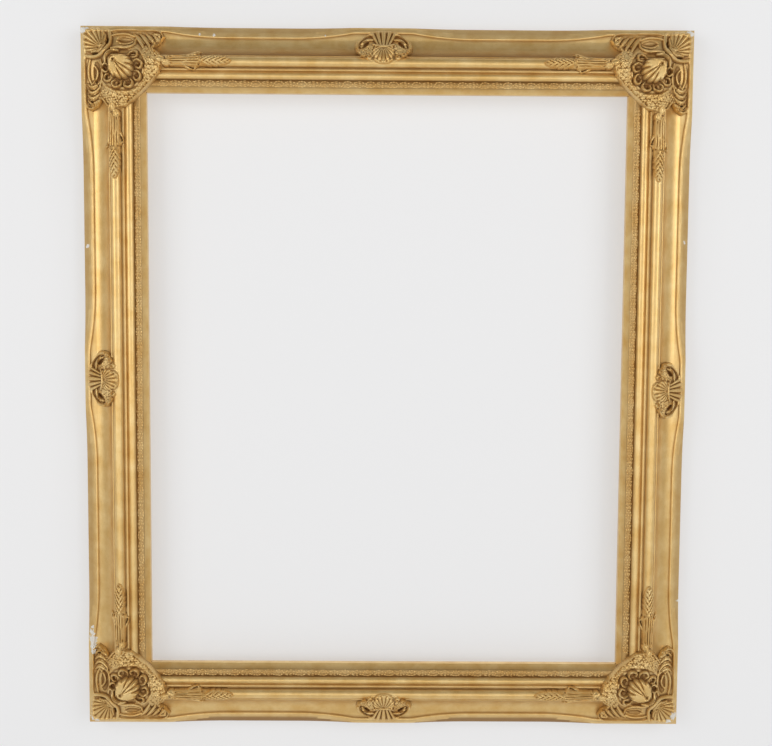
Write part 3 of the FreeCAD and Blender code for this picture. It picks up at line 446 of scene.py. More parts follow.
# where the gesso is chipped white, seen in the photo: across, up, and the chip's reach
chips = [
    (-312.5, 362.0, 6.0), (-309.0, 363.5, 4.0), (312.5, 363.0, 6.0), (-313.0, -363.0, 7.0),
    (-307.0, -364.0, 5.0), (311.0, -356.0, 7.0), (306.0, -362.0, 5.0), (-312.4, 142.0, 3.5),
    (-311.0, -262.0, 4.5), (-310.8, -268.0, 5.5), (-310.4, -275.0, 5.5), (-310.2, -282.0, 5.0),
    (-310.0, -288.0, 4.0), (312.0, 150.0, 3.0), (314.5, -232.0, 3.5), (-178.0, 357.8, 2.6),
    (-65.0, 358.7, 2.6), (-193.0, 358.7, 2.6),
]


def chipField(points):
    # how near each point lies to a chip, from 0 to 1
    flat = np.asarray(points, float).reshape(-1, 3) / mm
    field = np.zeros(len(flat))
    for across, up, reach in chips:
        gap = np.hypot(flat[:, 0] - across, flat[:, 2] - up)
        field = np.maximum(field, np.clip(1.25 - gap / reach, 0, 1))
    return field


wobble = np.random.default_rng(7)


def railMesh(side):
    # a moulded rail, mitred at both ends, with its sawn back as a second material
    length, shift = sides[side]
    half, width = length / 2, rail["width"]
    straight = np.arange(-half + width + 1, half - width - 1, rail["stationStep"])
    lead = np.linspace(0, 1, rail["mitreStations"])
    stations = np.concatenate([-half + lead[:-1] * (width + 1), straight,
                               half - lead[-2::-1] * (width + 1)])
    rims = rimInset(stations, length, shift)
    sections = np.array([railProfile(rim) for rim in rims])
    count = sections.shape[1]
    insets, heights = sections[:, :, 0], sections[:, :, 1]
    # the mitre: near an end, each line of the section stops at its own inset
    along = np.repeat(stations[:, None], count, axis=1)
    for sign in (-1, 1):
        gap = half - sign * along
        stop = half - (insets + (gap / (width + 1)) * (width + 1 - insets))
        along = np.where(gap < width + 1, sign * stop, along)
    # hand-laid gesso is a little uneven along its length
    for waves, swing in rail["waves"]:
        phase = wobble.uniform(0, 6.28, 3)
        bend = np.sin(stations / length * 6.28 * waves + phase[0])
        uneven = np.where(heights > rail["wavesFrom"], 1, 0)
        heights = heights + uneven * bend[:, None] * swing
    points = standOn(side, along, insets, heights).reshape(-1, 3)
    faces = tube(len(stations), count)
    faces.append(tuple(range(count)))
    faces.append(tuple(range(len(points) - count, len(points))))
    mesh = plainMesh(f"{side}Rail", points, faces)
    # the toning colour along the grooves, in the cove and on the flank: part glaze, part painted
    # shade
    hollow = np.zeros(insets.shape)
    for line, off, reach, depth in toningAndShade["lines"]:
        gap = np.abs(insets - (rail[line] + off))
        hollow = np.maximum(hollow, depth * np.clip(1 - gap / reach, 0, 1))
    gap = np.abs(insets - (rims[:, None] + rail["rimStep"] * 2 + 2 * rail["beadRadius"]))
    hollow = np.maximum(hollow, toningAndShade["bead"] * np.clip(1 - gap / toningAndShade["beadReach"], 0, 1))
    cove = np.clip((insets - toningAndShade["coveFrom"]) / toningAndShade["coveReach"], 0, 1)
    cove = cove * (insets < rail["coveEnd"] + 0.5)
    # painted shade: the top rail's cove is darker
    hollow = np.maximum(hollow, toningAndShade["coveTopShade" if side == "top" else "cove"] * cove)
    # painted light: the left and right rails get less of it
    hollow = hollow * (toningAndShade["uprightsLitShare"] if side in ("left", "right") else 1.0)
    # the outer flank toned, and on the bottom rail painted shade
    hollow = np.where(heights < toningAndShade["edgeHeight"],
                      toningAndShade["edgeBottomShade" if side == "bottom" else "edge"], hollow)
    pointValues(mesh, "hollow", hollow)
    pointValues(mesh, "chip", chipField(points))
    for face in mesh.polygons:
        spots = [mesh.vertices[v].co for v in face.vertices]
        high = max(-spot.y for spot in spots) / mm
        floor = high < rail["rebateDepth"] + rail["sawnUpTo"] and face.normal.y > 0.5
        face.material_index = 1 if floor or high < rail["sawnUpTo"] else 0
    return mesh


for side in sides:
    built = railMesh(side)
    backs = [face.material_index for face in built.polygons]
    shownObject(f"{side}RailGilt", built, giltMoulding, [f"{side}_rail"])
    built.materials.append(pineLevel if side in ("top", "bottom") else pineUpright)
    built.polygons.foreach_set("material_index", backs)
print("rails made")


# Relief: castings modelled as carved ground over the moulding, with ridges, domes and fans

ground = {
    "step": 0.5,                        # mm between the points of a patch
    "margin": 1.5, "tuck": 0.7, "sink": 1.8,  # how a casting's skirt hides in the rail
    "edge": 1.5, "edgePower": 0.55,     # how its edge rolls over
    "cover": 0.25, "highest": 42.8,     # its least height over the rail, and its greatest
    # toning, part glaze and part painted shade, in the hollows: how wide they are, how deep, what
    # is let off, and the share
    "hollows": [(1.3, 0.9, 0.08, 0.95), (4.0, 3.0, 0.1, 0.45)],
    # painted shade down the casting's sides where it meets the rail
    "underside": 0.5,
}


def mouldingHeight(inset):
    # the rail's height at an inset, near the ornaments where the rim stands out
    line = frontLine(rail["rimEnd"])
    return np.interp(inset, [p[0] for p in line], [p[1] for p in line])


def blurred(field, reach):
    # a Gaussian blur, reach in millimetres
    spread = reach / ground["step"]
    taps = int(3 * spread) + 1
    weights = np.exp(-0.5 * (np.arange(-taps, taps + 1) / spread) ** 2)
    weights /= weights.sum()
    for axis in (0, 1):
        padded = np.pad(field, [(taps, taps) if k == axis else (0, 0) for k in (0, 1)], "edge")
        size = field.shape[axis]
        field = sum(w * np.take(padded, range(k, k + size), axis=axis)
                    for k, w in enumerate(weights))
    return field


def lowest(field, reach):
    # the lowest neighbour within a few cells, so that hidden edges stay in the rail
    result = field.copy()
    for axis in (0, 1):
        padded = np.pad(result, [(reach, reach) if k == axis else (0, 0) for k in (0, 1)], "edge")
        size = field.shape[axis]
        result = np.minimum.reduce([np.take(padded, range(k, k + size), axis=axis)
                                    for k in range(2 * reach + 1)])
    return result


def smoothLine(points, count=8):
    # a Catmull-Rom line through (x, y, width, height) points
    points = np.asarray(points, float)
    if len(points) < 3:
        return points
    ends = np.vstack([2 * points[0] - points[1], points, 2 * points[-1] - points[-2]])
    t = np.linspace(0, 1, count, endpoint=False)[:, None]
    parts = []
    for k in range(1, len(ends) - 2):
        a, b, c, d = ends[k - 1:k + 3]
        parts.append(0.5 * (2 * b + (c - a) * t + (2 * a - 5 * b + 4 * c - d) * t**2
                            + (3 * b - a - 3 * c + d) * t**3))
    return np.vstack(parts + [points[-1:]])


class Relief:
    # a patch of carved surface: x and y in mm, raised and sunk layers over a ground
    def __init__(self, low, high):
        step = ground["step"]
        self.xs = np.arange(low[0], high[0] + step / 2, step)
        self.ys = np.arange(low[1], high[1] + step / 2, step)
        self.x, self.y = np.meshgrid(self.xs, self.ys, indexing="ij")
        self.raised = np.zeros(self.x.shape)
        self.sunk = np.zeros(self.x.shape)
        self.fine = np.zeros(self.x.shape)  # small cells that ride on everything else

    def window(self, points, reach):
        # the cells within reach of some points
        spots = np.asarray(points, float)
        step = ground["step"]
        cuts = []
        for axis, line in ((0, self.xs), (1, self.ys)):
            first = int((spots[:, axis].min() - reach - line[0]) / step)
            last = int((spots[:, axis].max() + reach - line[0]) / step) + 2
            cuts.append(slice(max(first, 0), max(last, 0)))
        return tuple(cuts)

    def ridge(self, points, sharp=0.5):
        # a rounded ridge along a line of (x, y, half width, height)
        line = smoothLine(points)
        for a, b in zip(line[:-1], line[1:]):
            cut = self.window([a[:2], b[:2]], max(a[2], b[2]))
            x, y = self.x[cut], self.y[cut]
            if not x.size:
                continue
            dx, dy = b[0] - a[0], b[1] - a[1]
            t = np.clip(((x - a[0]) * dx + (y - a[1]) * dy) / (dx * dx + dy * dy + 1e-9), 0, 1)
            gap = np.hypot(x - a[0] - t * dx, y - a[1] - t * dy)
            width, height = a[2] + t * (b[2] - a[2]), a[3] + t * (b[3] - a[3])
            form = np.clip(1 - (gap / np.maximum(width, 0.05)) ** 2, 0, 1) ** sharp
            self.raised[cut] = np.maximum(self.raised[cut], height * form)

    def dome(self, centre, radii, height, turn=0, layer="raised", sharp=0.5):
        # an oval dome, or a hollow in the sunk layer
        cut = self.window([centre], max(radii))
        x, y = self.x[cut] - centre[0], self.y[cut] - centre[1]
        c, s = math.cos(math.radians(turn)), math.sin(math.radians(turn))
        form = ((x * c + y * s) / radii[0]) ** 2 + ((y * c - x * s) / radii[1]) ** 2
        field = getattr(self, layer)
        field[cut] = np.maximum(field[cut], height * np.clip(1 - form, 0, 1) ** sharp)

    def scallop(self, centre, radius, hinge, ribs, height, crown, first=-180, last=180):
        # a shell inside a circle: ribs of a height open from the hinge, over a crown, to a
        # scalloped edge, between the first and last angle
        x, y = self.x - hinge[0], self.y - hinge[1]
        reach, turn = np.hypot(x, y), np.arctan2(y, x)
        offX, offY = hinge[0] - centre[0], hinge[1] - centre[1]
        lean = offX * np.cos(turn) + offY * np.sin(turn)
        edge = -lean + np.sqrt(lean**2 + radius**2 - offX**2 - offY**2)
        comb = np.abs(np.sin(turn * ribs / 2)) ** 0.8               # 1 on a rib, 0 between
        along = np.clip(reach / (edge * (0.93 + 0.07 * comb)), 0, 1)
        rise = np.sin(np.clip(along * 3.0, 0, 1) * math.pi / 2)     # smooth at the hinge
        umbo = 0.45 + 0.55 * np.clip(along * 2.2, 0, 1)             # and lower there
        form = (crown * umbo * (1 - 0.45 * along**2.4)
                + height * rise * (0.25 + 0.75 * comb)) * (1 - along**14)
        swing = (np.degrees(turn) - (first + last) / 2 + 180) % 360 - 180
        inside = (along < 1) & (np.abs(swing) < (last - first) / 2 + 1e-6)
        self.raised = np.where(inside, np.maximum(self.raised, form), self.raised)

    def pebbles(self, inside, spacing, height, seed):
        # small rounded cells scattered over an area
        random = np.random.default_rng(seed)
        rows = []
        for row, y in enumerate(np.arange(self.ys[0], self.ys[-1], spacing * 0.87)):
            for x in np.arange(self.xs[0] + (row % 2) * spacing / 2, self.xs[-1], spacing):
                rows.append((x, y) + random.uniform(-0.2, 0.2, 2) * spacing)
        for x, y in rows:
            i = int((x - self.xs[0]) / ground["step"])
            j = int((y - self.ys[0]) / ground["step"])
            if 0 <= i < len(self.xs) and 0 <= j < len(self.ys) and inside[i, j]:
                size = spacing * random.uniform(0.46, 0.62)
                self.dome((x, y), (size, size), height * random.uniform(0.7, 1.1),
                          random.uniform(0, 180), "fine")


def insideOutline(relief, outline):
    # signed distance to an outline, positive inside
    x, y = relief.x, relief.y
    best = np.full(x.shape, 1e9)
    odd = np.zeros(x.shape, bool)
    for (ax, ay), (bx, by) in zip(outline, outline[1:] + outline[:1]):
        dx, dy = bx - ax, by - ay
        t = np.clip(((x - ax) * dx + (y - ay) * dy) / (dx * dx + dy * dy + 1e-9), 0, 1)
        best = np.minimum(best, np.hypot(x - ax - t * dx, y - ay - t * dy))
        if ay != by:
            odd ^= ((ay > y) != (by > y)) & (x < (bx - ax) * (y - ay) / (by - ay) + ax)
    return np.where(odd, best, -best)


def castMesh(name, relief, base, body, outline, toWorld):
    # close the carved patch over the moulding into one solid casting
    away = insideOutline(relief, outline)
    under = lowest(base, 2)
    surface = np.maximum(body - relief.sunk, base + ground["cover"])
    surface = surface + relief.raised + relief.fine
    surface = np.minimum(surface, ground["highest"])
    lift = np.clip(away / ground["edge"], 0, 1) ** ground["edgePower"]
    tucked = under - ground["tuck"]
    height = np.where(away > 0, tucked + (surface - tucked) * lift, tucked)
    shown = away > -ground["margin"]
    cells = shown[:-1, :-1] & shown[1:, :-1] & shown[:-1, 1:] & shown[1:, 1:]
    used = np.zeros(shown.shape, bool)
    for i in (0, 1):
        for j in (0, 1):
            used[i:used.shape[0] - 1 + i, j:used.shape[1] - 1 + j] |= cells
    index = np.full(shown.shape, -1)
    count = int(used.sum())
    index[used] = np.arange(count)
    low = under - ground["sink"]
    top = toWorld(relief.x[used], relief.y[used], height[used])
    bottom = toWorld(relief.x[used], relief.y[used], low[used])
    quads = np.stack([index[:-1, :-1][cells], index[1:, :-1][cells],
                      index[1:, 1:][cells], index[:-1, 1:][cells]], axis=1)
    faces = [tuple(q) for q in quads] + [tuple(q[::-1] + count) for q in quads]
    edges = {}
    for q in quads:
        for a, b in ((q[0], q[1]), (q[1], q[2]), (q[2], q[3]), (q[3], q[0])):
            if (b, a) in edges:
                del edges[(b, a)]
            else:
                edges[(a, b)] = True
    faces += [(b, a, a + count, b + count) for a, b in edges]
    points = np.vstack([top, bottom])
    mesh = plainMesh(name, points, faces, smooth=60)
    # the toning colour where the surface lies below its blurred self, part glaze and part painted
    # shade; the skirt gets painted shade
    hollow = sum(share * np.clip((blurred(height, width) - height) / depth - off, 0, 1)
                 for width, depth, off, share in ground["hollows"])
    hollow = np.concatenate([hollow[used], np.full(count, ground["underside"])])
    pointValues(mesh, "hollow", np.clip(hollow, 0, 1))
    pointValues(mesh, "chip", chipField(points))
    return mesh


# Corner ornaments

cornerCast = {
    "boss": (47.0, 46.0),
    # half of the outline, in mm; the other half is the same across the diagonal
    "outline": [(1.6, 1.6), (27, 1.4), (29.5, 2.4), (32.6, 5.6), (40.5, 2.8), (54.6, 2.6),
                (61.6, 4.6), (73.9, 3.0), (84, 5.5), (88, 12.5), (84, 20), (78, 24.6),
                (84.5, 29.9), (88, 38.7), (85.4, 50.2), (78.5, 59.3), (67.5, 67.5)],
    # the height of the body at each inset from the outer edge
    "bodyInsets": [0, 3.5, 8, 14, 20, 26, 32, 38, 46, 52, 58, 64, 70, 90],
    "bodyHeights": [14.0, 15.8, 17.0, 18.4, 21.4, 27.0, 32.6, 36.0, 36.2, 34.6, 32.2, 28.6,
                    26.4, 26.4],
}


def aroundBoss(radius, angle):
    # a point at an angle round the boss
    x, y = cornerCast["boss"]
    return (x + radius * math.cos(math.radians(angle)), y + radius * math.sin(math.radians(angle)))


def arcRidge(relief, radius, first, last, width, height):
    # a ridge round the boss that fades at both ends
    spots = []
    count = int((last - first) / 14)
    for k in range(count + 1):
        share = k / count
        fade = min(1, 0.35 + 2.6 * min(share, 1 - share))
        spots.append(aroundBoss(radius, first + (last - first) * share)
                     + (width * fade, height * fade))
    relief.ridge(spots, 0.9)


def carveCorner():
    # x and y run inwards from the outer corner
    r = Relief((0, 0), (92, 92))
    boss = cornerCast["boss"]
    # fan shell on the outer corner, opening towards it, under a curled hood
    r.scallop((14.6, 14.6), 14.2, (24.5, 24.5), 26, 2.6, 1.2)
    r.ridge([(4, 30.5, 1.5, 1.8), (11, 32.5, 2.2, 3.4), (19, 32.5, 2.4, 4.6),
             (26, 30.5, 2.5, 5.2), (30.5, 25, 2.5, 5.2), (32.0, 18, 2.3, 4.4),
             (31.5, 10, 2.0, 3.0), (29.5, 4, 1.5, 1.6)])
    r.ridge([(13, 28, 1.2, 2.2), (19, 28.4, 1.6, 3.4), (24.5, 26.6, 1.8, 4.0),
             (27.5, 20, 1.4, 2.6)])
    r.dome((17.5, 30.3), (4.4, 1.6), 3.4, 4, "sunk")
    r.dome((30.2, 17.5), (1.6, 4.4), 3.4, -4, "sunk")
    # the ribbed boss shell, with a ruff of curled petals in a shallow hollow
    r.dome(boss, (21.0, 20.0), 3.8, 0, "sunk", 0.3)
    r.scallop(boss, 13.0, aroundBoss(11.0, 222), 22, 3.0, 6.6)
    for angle, size, height in ((106, 4.8, 3.4), (68, 5.0, 3.8), (29, 4.8, 3.4), (-9, 5.0, 3.8),
                                (-47, 4.4, 3.2), (144, 4.6, 3.4), (181, 4.2, 3.2)):
        r.dome(aroundBoss(16.2, angle), (size * 0.7, size * 0.7), 4.4, angle, "sunk")
        r.ridge([aroundBoss(13.6, angle - 15) + (0.8, height + 0.2),
                 aroundBoss(18.0, angle - 14) + (1.3, height + 1.6),
                 aroundBoss(21.4, angle) + (1.5, height + 2.2),
                 aroundBoss(18.6, angle + 13) + (1.3, height + 1.6),
                 aroundBoss(15.0, angle + 9) + (1.0, height + 0.8)])
    # the low crescent round them, open towards the outer corner
    arcRidge(r, 25.2, -64, 172, 2.6, 1.5)
    # curled edge between the boss and the hood
    r.ridge([aroundBoss(18.5, 196) + (1.5, 4.0), aroundBoss(20.5, 214) + (2.0, 5.0),
             aroundBoss(20.5, 236) + (2.0, 5.0), aroundBoss(18.5, 254) + (1.5, 4.0)])
    # the boat over the level side, with its lip and the feathers beyond it
    r.dome((48, 17.5), (9.5, 4.6), 3.0, 10, "sunk", 0.4)
    r.ridge([(35, 25.5, 1.5, 2.8), (42, 24.0, 1.9, 3.4), (50, 24.6, 1.9, 3.4),
             (57, 20.5, 1.6, 2.8), (58.5, 15, 1.2, 2.0)])
    r.ridge([(39, 16.5, 0.9, 2.0), (44, 19.5, 1.4, 3.2), (50, 19.6, 1.4, 3.2),
             (55.5, 17.4, 1.0, 2.2)])
    r.ridge([(33, 11, 1.0, 1.6), (41, 9.4, 1.3, 2.4), (50, 9.6, 1.4, 2.6), (57, 12, 1.2, 2.0)])
    r.ridge([(30.5, 6, 1.1, 1.4), (40, 4.8, 1.4, 1.9), (52, 4.6, 1.5, 2.0), (66, 5.0, 1.5, 2.0),
             (80, 5.6, 1.3, 1.8), (86, 10, 1.4, 2.4), (84.5, 16.5, 1.4, 2.4), (79, 18, 1.2, 1.8)])
    for k in range(4):
        x = 56.5 + 6.3 * k
        r.ridge([(x, 9.6, 1.1, 1.8), (x + 4.5, 14.5, 2.0, 4.2), (x + 9.5, 22.0 - k * 0.8, 1.6, 3.4),
                 (x + 11, 25.5 - k, 0.7, 1.2)])
        r.ridge([(x + 3, 10.5, 0.6, 1.6), (x + 7, 14.5, 0.9, 2.6), (x + 11, 19.5 - k, 0.8, 2.0)])
    r.ridge([(77, 9, 1.2, 1.8), (81.5, 10.8, 1.9, 3.2), (83, 14.5, 1.4, 2.2)])
    # the sunken field over the upright side, its two lips, and the leaf beyond it
    r.dome((19.5, 50), (4.8, 12.5), 3.4, -6, "sunk", 0.4)
    r.ridge([(11, 36, 1.3, 2.2), (9.4, 45, 1.5, 2.7), (10, 54, 1.5, 2.6), (13.5, 62, 1.2, 2.2)])
    r.ridge([(23.5, 37, 1.3, 2.4), (25.5, 45, 1.6, 2.9), (25.6, 54, 1.6, 2.9),
             (22.5, 63, 1.2, 2.4)])
    r.ridge([(16, 42, 1.0, 1.8), (19, 48, 1.5, 2.8), (17.5, 55, 1.4, 2.6), (14, 60, 0.8, 1.4)])
    r.ridge([(6, 30.5, 1.1, 1.4), (4.8, 40, 1.4, 1.9), (4.7, 54, 1.5, 2.0), (5.2, 68, 1.5, 2.0),
             (6, 80, 1.3, 1.8), (10.5, 85, 1.4, 2.2), (16, 83.5, 1.4, 2.0), (18, 79, 1.2, 1.6)])
    for k in range(4):
        y = 59.0 + 5.6 * k
        r.ridge([(8.6, y + 1, 1.0, 1.6), (12.5, y + 4.4, 1.8, 3.8), (17.5, y + 3.6, 1.8, 3.6),
                 (23, y - 1.6 + k, 1.1, 2.2)])
        r.ridge([(11, y + 6.4, 0.6, 1.4), (15.5, y + 6.8, 0.9, 2.2), (20, y + 4.0, 0.7, 1.6)])
    r.dome((12.3, 79.5), (3.6, 2.2), 3.0, 0, "sunk")
    # stippled field towards the sight, edged with low mouldings, with a cup for each spray
    far = np.hypot(r.x - boss[0], r.y - boss[1])
    angle = np.degrees(np.arctan2(r.y - boss[1], r.x - boss[0]))
    field = (far > 24.0) & (angle > -46) & (angle < 136)
    r.pebbles(field, 2.7, 1.7, 11)
    for spots in (
            [(51, 86, 1.2, 2.6), (57, 78.5, 1.3, 2.9), (65.5, 69.5, 1.4, 2.9),
             (69.5, 65.5, 1.4, 2.9), (78, 58, 1.3, 2.9), (85, 50.5, 1.2, 2.6)],
            [(25, 75, 1.2, 2.4), (31, 83, 1.3, 2.8), (37, 87, 1.3, 2.6)],
            [(79, 27, 1.2, 2.4), (84, 32, 1.3, 2.8), (87, 38, 1.3, 2.6)]):
        r.ridge(spots)
    inset = np.minimum(r.x, r.y)
    base = mouldingHeight(inset)
    body = blurred(np.interp(inset, cornerCast["bodyInsets"], cornerCast["bodyHeights"]), 2.2)
    body += 2.0 * np.exp(-((r.x - boss[0]) ** 2 + (r.y - boss[1]) ** 2) / 700)
    half = cornerCast["outline"]
    outline = half + [(y, x) for x, y in reversed(half[1:-1])]
    return r, base, body, outline


corners = {"top_left": (-1, 1), "top_right": (1, 1), "bottom_right": (1, -1),
           "bottom_left": (-1, -1)}


def cornerPlace(acrossSign, upSign):
    # the one casting, mirrored from corner to corner
    def toWorld(x, y, height):
        halfWide, halfTall = outer["width"] / 2, outer["height"] / 2
        return np.stack([acrossSign * (halfWide - x), -height, upSign * (halfTall - y)],
                        axis=-1) * mm
    return toWorld


carved = carveCorner()
for corner, signs in corners.items():
    mesh = castMesh(f"{corner}Cast", *carved, cornerPlace(*signs))
    shownObject(f"{corner}OrnamentGilt", mesh, giltOrnament,
                [f"{corner}_ornament"])
print("corner ornaments made")


# Bud sprays

spray = {
    "middle": 39.0,
    "outline": [(80, 32), (90, 31.5), (100, 32.6), (108, 32), (114, 29.5), (120, 27.6),
                (127, 26.6), (129.2, 29.4), (126, 31.6), (130, 32.6), (136, 32.2),
                (146, 32.2), (154, 34.2), (158.3, 37.6), (157, 41.6), (150, 44.6),
                (140, 45.2), (132, 45.0), (127, 43.8), (124, 46), (121.5, 48.6), (114, 48),
                (106, 45.4), (96, 45.4), (88, 46.8), (80, 46)],
}


def carveSpray():
    # x runs along the rail from the outer corner, y inwards from its outer edge
    r = Relief((78, 24), (161, 54))
    mid = spray["middle"]
    # two curled loops out of the corner casting
    for x, y, wide, tall in ((85.5, mid - 1.6, 5.0, 3.6), (92.0, mid + 2.4, 4.4, 3.2)):
        r.dome((x, y), (wide, tall), 3.4)
        r.dome((x + 0.5, y), (wide * 0.55, tall * 0.5), 3.0, 0, "sunk")
        r.ridge([(x + wide * 0.8 * math.cos(t), y + tall * 0.8 * math.sin(t), 0.9, 4.0)
                 for t in np.linspace(0.3, 5.6, 10)])
    # strands that flare into a leafy skirt, a leaf tip outwards and a twig inwards
    for k, (first, last) in enumerate(((-3.8, -7.0), (-2.0, -4.0), (-0.2, -1.0), (1.6, 1.8),
                                       (3.4, 4.6))):
        end = 126.5 - abs(k - 1.5) * 1.4
        r.ridge([(92, mid + first * 0.9, 0.9, 2.6), (98, mid + first * 1.25, 1.2, 3.8),
                 (107, mid + first * 1.3, 1.35, 4.2),
                 (116, mid + first * 1.1 + (last - first) * 0.4, 1.4, 4.2),
                 (end, mid + last, 1.6, 4.2)])
        r.ridge([(114, mid + first + (last - first) * 0.5 + 1.3, 0.5, 2.6),
                 (end - 1, mid + last + 1.7, 0.7, 2.8)])
    r.ridge([(112, mid - 4.4, 1.0, 2.6), (118, mid - 8.0, 1.3, 3.6), (123, mid - 10.2, 1.6, 4.4),
             (125.5, mid - 9.0, 1.3, 3.8)])
    r.ridge([(107, mid + 3.2, 0.9, 2.4), (113, mid + 6.6, 1.4, 3.2), (118.5, mid + 8.6, 1.1, 2.8),
             (120.5, mid + 7.2, 0.9, 2.2)])
    # the bud, wrapped in overlapping scales
    r.dome((141, mid - 0.4), (18.0, 6.2), 3.2, -2, "raised", 0.6)
    for row, x in enumerate(np.arange(127, 157.5, 3.0), 1):
        for k in range(-2, 3):
            y = mid - 0.4 + (k + (row % 2) * 0.5 - 0.25) * 3.1
            if ((x - 141) / 17.6) ** 2 + ((y - mid + 0.4) / 5.9) ** 2 < 0.95:
                r.dome((x, y), (2.5, 1.4), 2.4, 28 if k > 0 else -28, "fine")
    base = mouldingHeight(r.y)
    body = blurred(base, 1.4) + 0.5
    return r, base, body, spray["outline"]


def sprayPlace(acrossSign, upSign, level):
    # along the level or the upright rail of a corner
    def toWorld(x, y, height):
        a, b = (x, y) if level else (y, x)
        return cornerPlace(acrossSign, upSign)(a, b, height)
    return toWorld


carved = carveSpray()
for corner, signs in corners.items():
    for way in ("level", "upright"):
        mesh = castMesh(f"{corner}_{way}_cast", *carved, sprayPlace(*signs, way == "level"))
        shownObject(f"{corner}_{way}_sprayGilt", mesh, giltOrnament,
                    [f"{corner}_{way}_spray"])
print("sprays made")


# Centre ornaments

centreCast = {
    "outline": [(-30, 22), (-28.5, 16), (-22, 12), (-14, 6), (-6, 3.4), (6, 3.4), (14, 6),
                (22, 12), (28.5, 16), (30, 22), (28.5, 29), (23, 33.5), (15, 38), (6, 41.6),
                (-6, 41.6), (-15, 38), (-23, 33.5), (-28.5, 29)],
    "bodyInsets": [0, 4, 9, 14, 20, 26, 32, 38, 42, 50],
    "bodyHeights": [16.4, 17.2, 18.6, 21.4, 26.2, 31.0, 34.6, 37.0, 36.0, 31.0],
}


def carveCentre():
    # x runs along the rail from the ornament's middle, y inwards from the outer edge
    r = Relief((-33, 0), (33, 45))
    # fluted palmette towards the outer edge, tied by a band
    for x, lean, width in ((-9.4, -3.4, 1.7), (-5.0, -1.6, 2.1), (0, 0, 2.5), (5.0, 1.6, 2.1),
                           (9.4, 3.4, 1.7)):
        r.ridge([(x * 0.62, 19.5, width * 0.6, 2.2), (x, 12.0, width, 3.8),
                 (x + lean, 5.2, width * 0.9, 2.4)])
    r.ridge([(-10.5, 19.8, 1.2, 2.6), (-4, 21.6, 1.6, 3.8), (4, 21.6, 1.6, 3.8),
             (10.5, 19.8, 1.2, 2.6)])
    # a small shell opening towards the sight, with a rosette at its edge
    r.scallop((0, 28.6), 11.4, (0, 21.4), 22, 2.4, 1.6, 0, 180)
    r.dome((0, 39.4), (3.4, 2.8), 3.4)
    r.dome((0, 39.4), (1.3, 1.1), 1.6, 0, "sunk")
    for sign in (1, -1):
        # leaf scroll sweeping out and down from the palmette, with a dark hollow under it
        r.dome((sign * 20.0, 20.5), (6.2, 3.0), 3.6, sign * 38, "sunk", 0.4)
        r.ridge([(sign * 10.5, 8.6, 1.4, 2.4), (sign * 16, 8.2, 2.2, 3.8),
                 (sign * 22, 11.4, 2.6, 4.4), (sign * 26.6, 17.4, 2.3, 3.8),
                 (sign * 27.6, 23.5, 1.5, 2.6)])
        r.ridge([(sign * 11, 14.2, 1.2, 2.4), (sign * 16, 14.6, 1.7, 3.4),
                 (sign * 20.5, 17.8, 1.7, 3.4), (sign * 22.8, 22.5, 1.3, 2.6)])
        # curled edge towards the sight
        for x, y, size in ((26.0, 28.2, 3.0), (20.6, 32.2, 3.3), (14.6, 34.8, 3.2)):
            r.dome((sign * x, y), (size, size * 0.82), 3.2, sign * 35)
            r.dome((sign * (x - 0.6), y - 0.8), (size * 0.5, size * 0.42), 2.2, sign * 35,
                   "sunk")
        r.ridge([(sign * 8.5, 36.4, 1.4, 2.6), (sign * 5.6, 38.6, 1.6, 3.0),
                 (sign * 3.4, 40.4, 1.0, 2.0)])
    field = (np.hypot(r.x, (r.y - 28) * 1.6) > 12.5) & (np.abs(r.x) < 24)
    field &= (r.y > 20) & (r.y < 33)
    r.pebbles(field, 2.5, 1.5, 23)
    base = mouldingHeight(r.y)
    body = np.interp(r.y, centreCast["bodyInsets"], centreCast["bodyHeights"])
    body = body - 1.2 * (r.x / 30) ** 2
    return r, base, body, centreCast["outline"]


carved = carveCentre()
for side, (length, shift) in sides.items():
    mesh = castMesh(f"{side}CentreCast", *carved,
                    lambda x, y, h, s=side, o=shift: standOn(s, o + x, y, h))
    shownObject(f"{side}CentreGilt", mesh, giltOrnament,
                [f"{side}_centre_ornament"])
print("centre ornaments made")


# Leaf strips

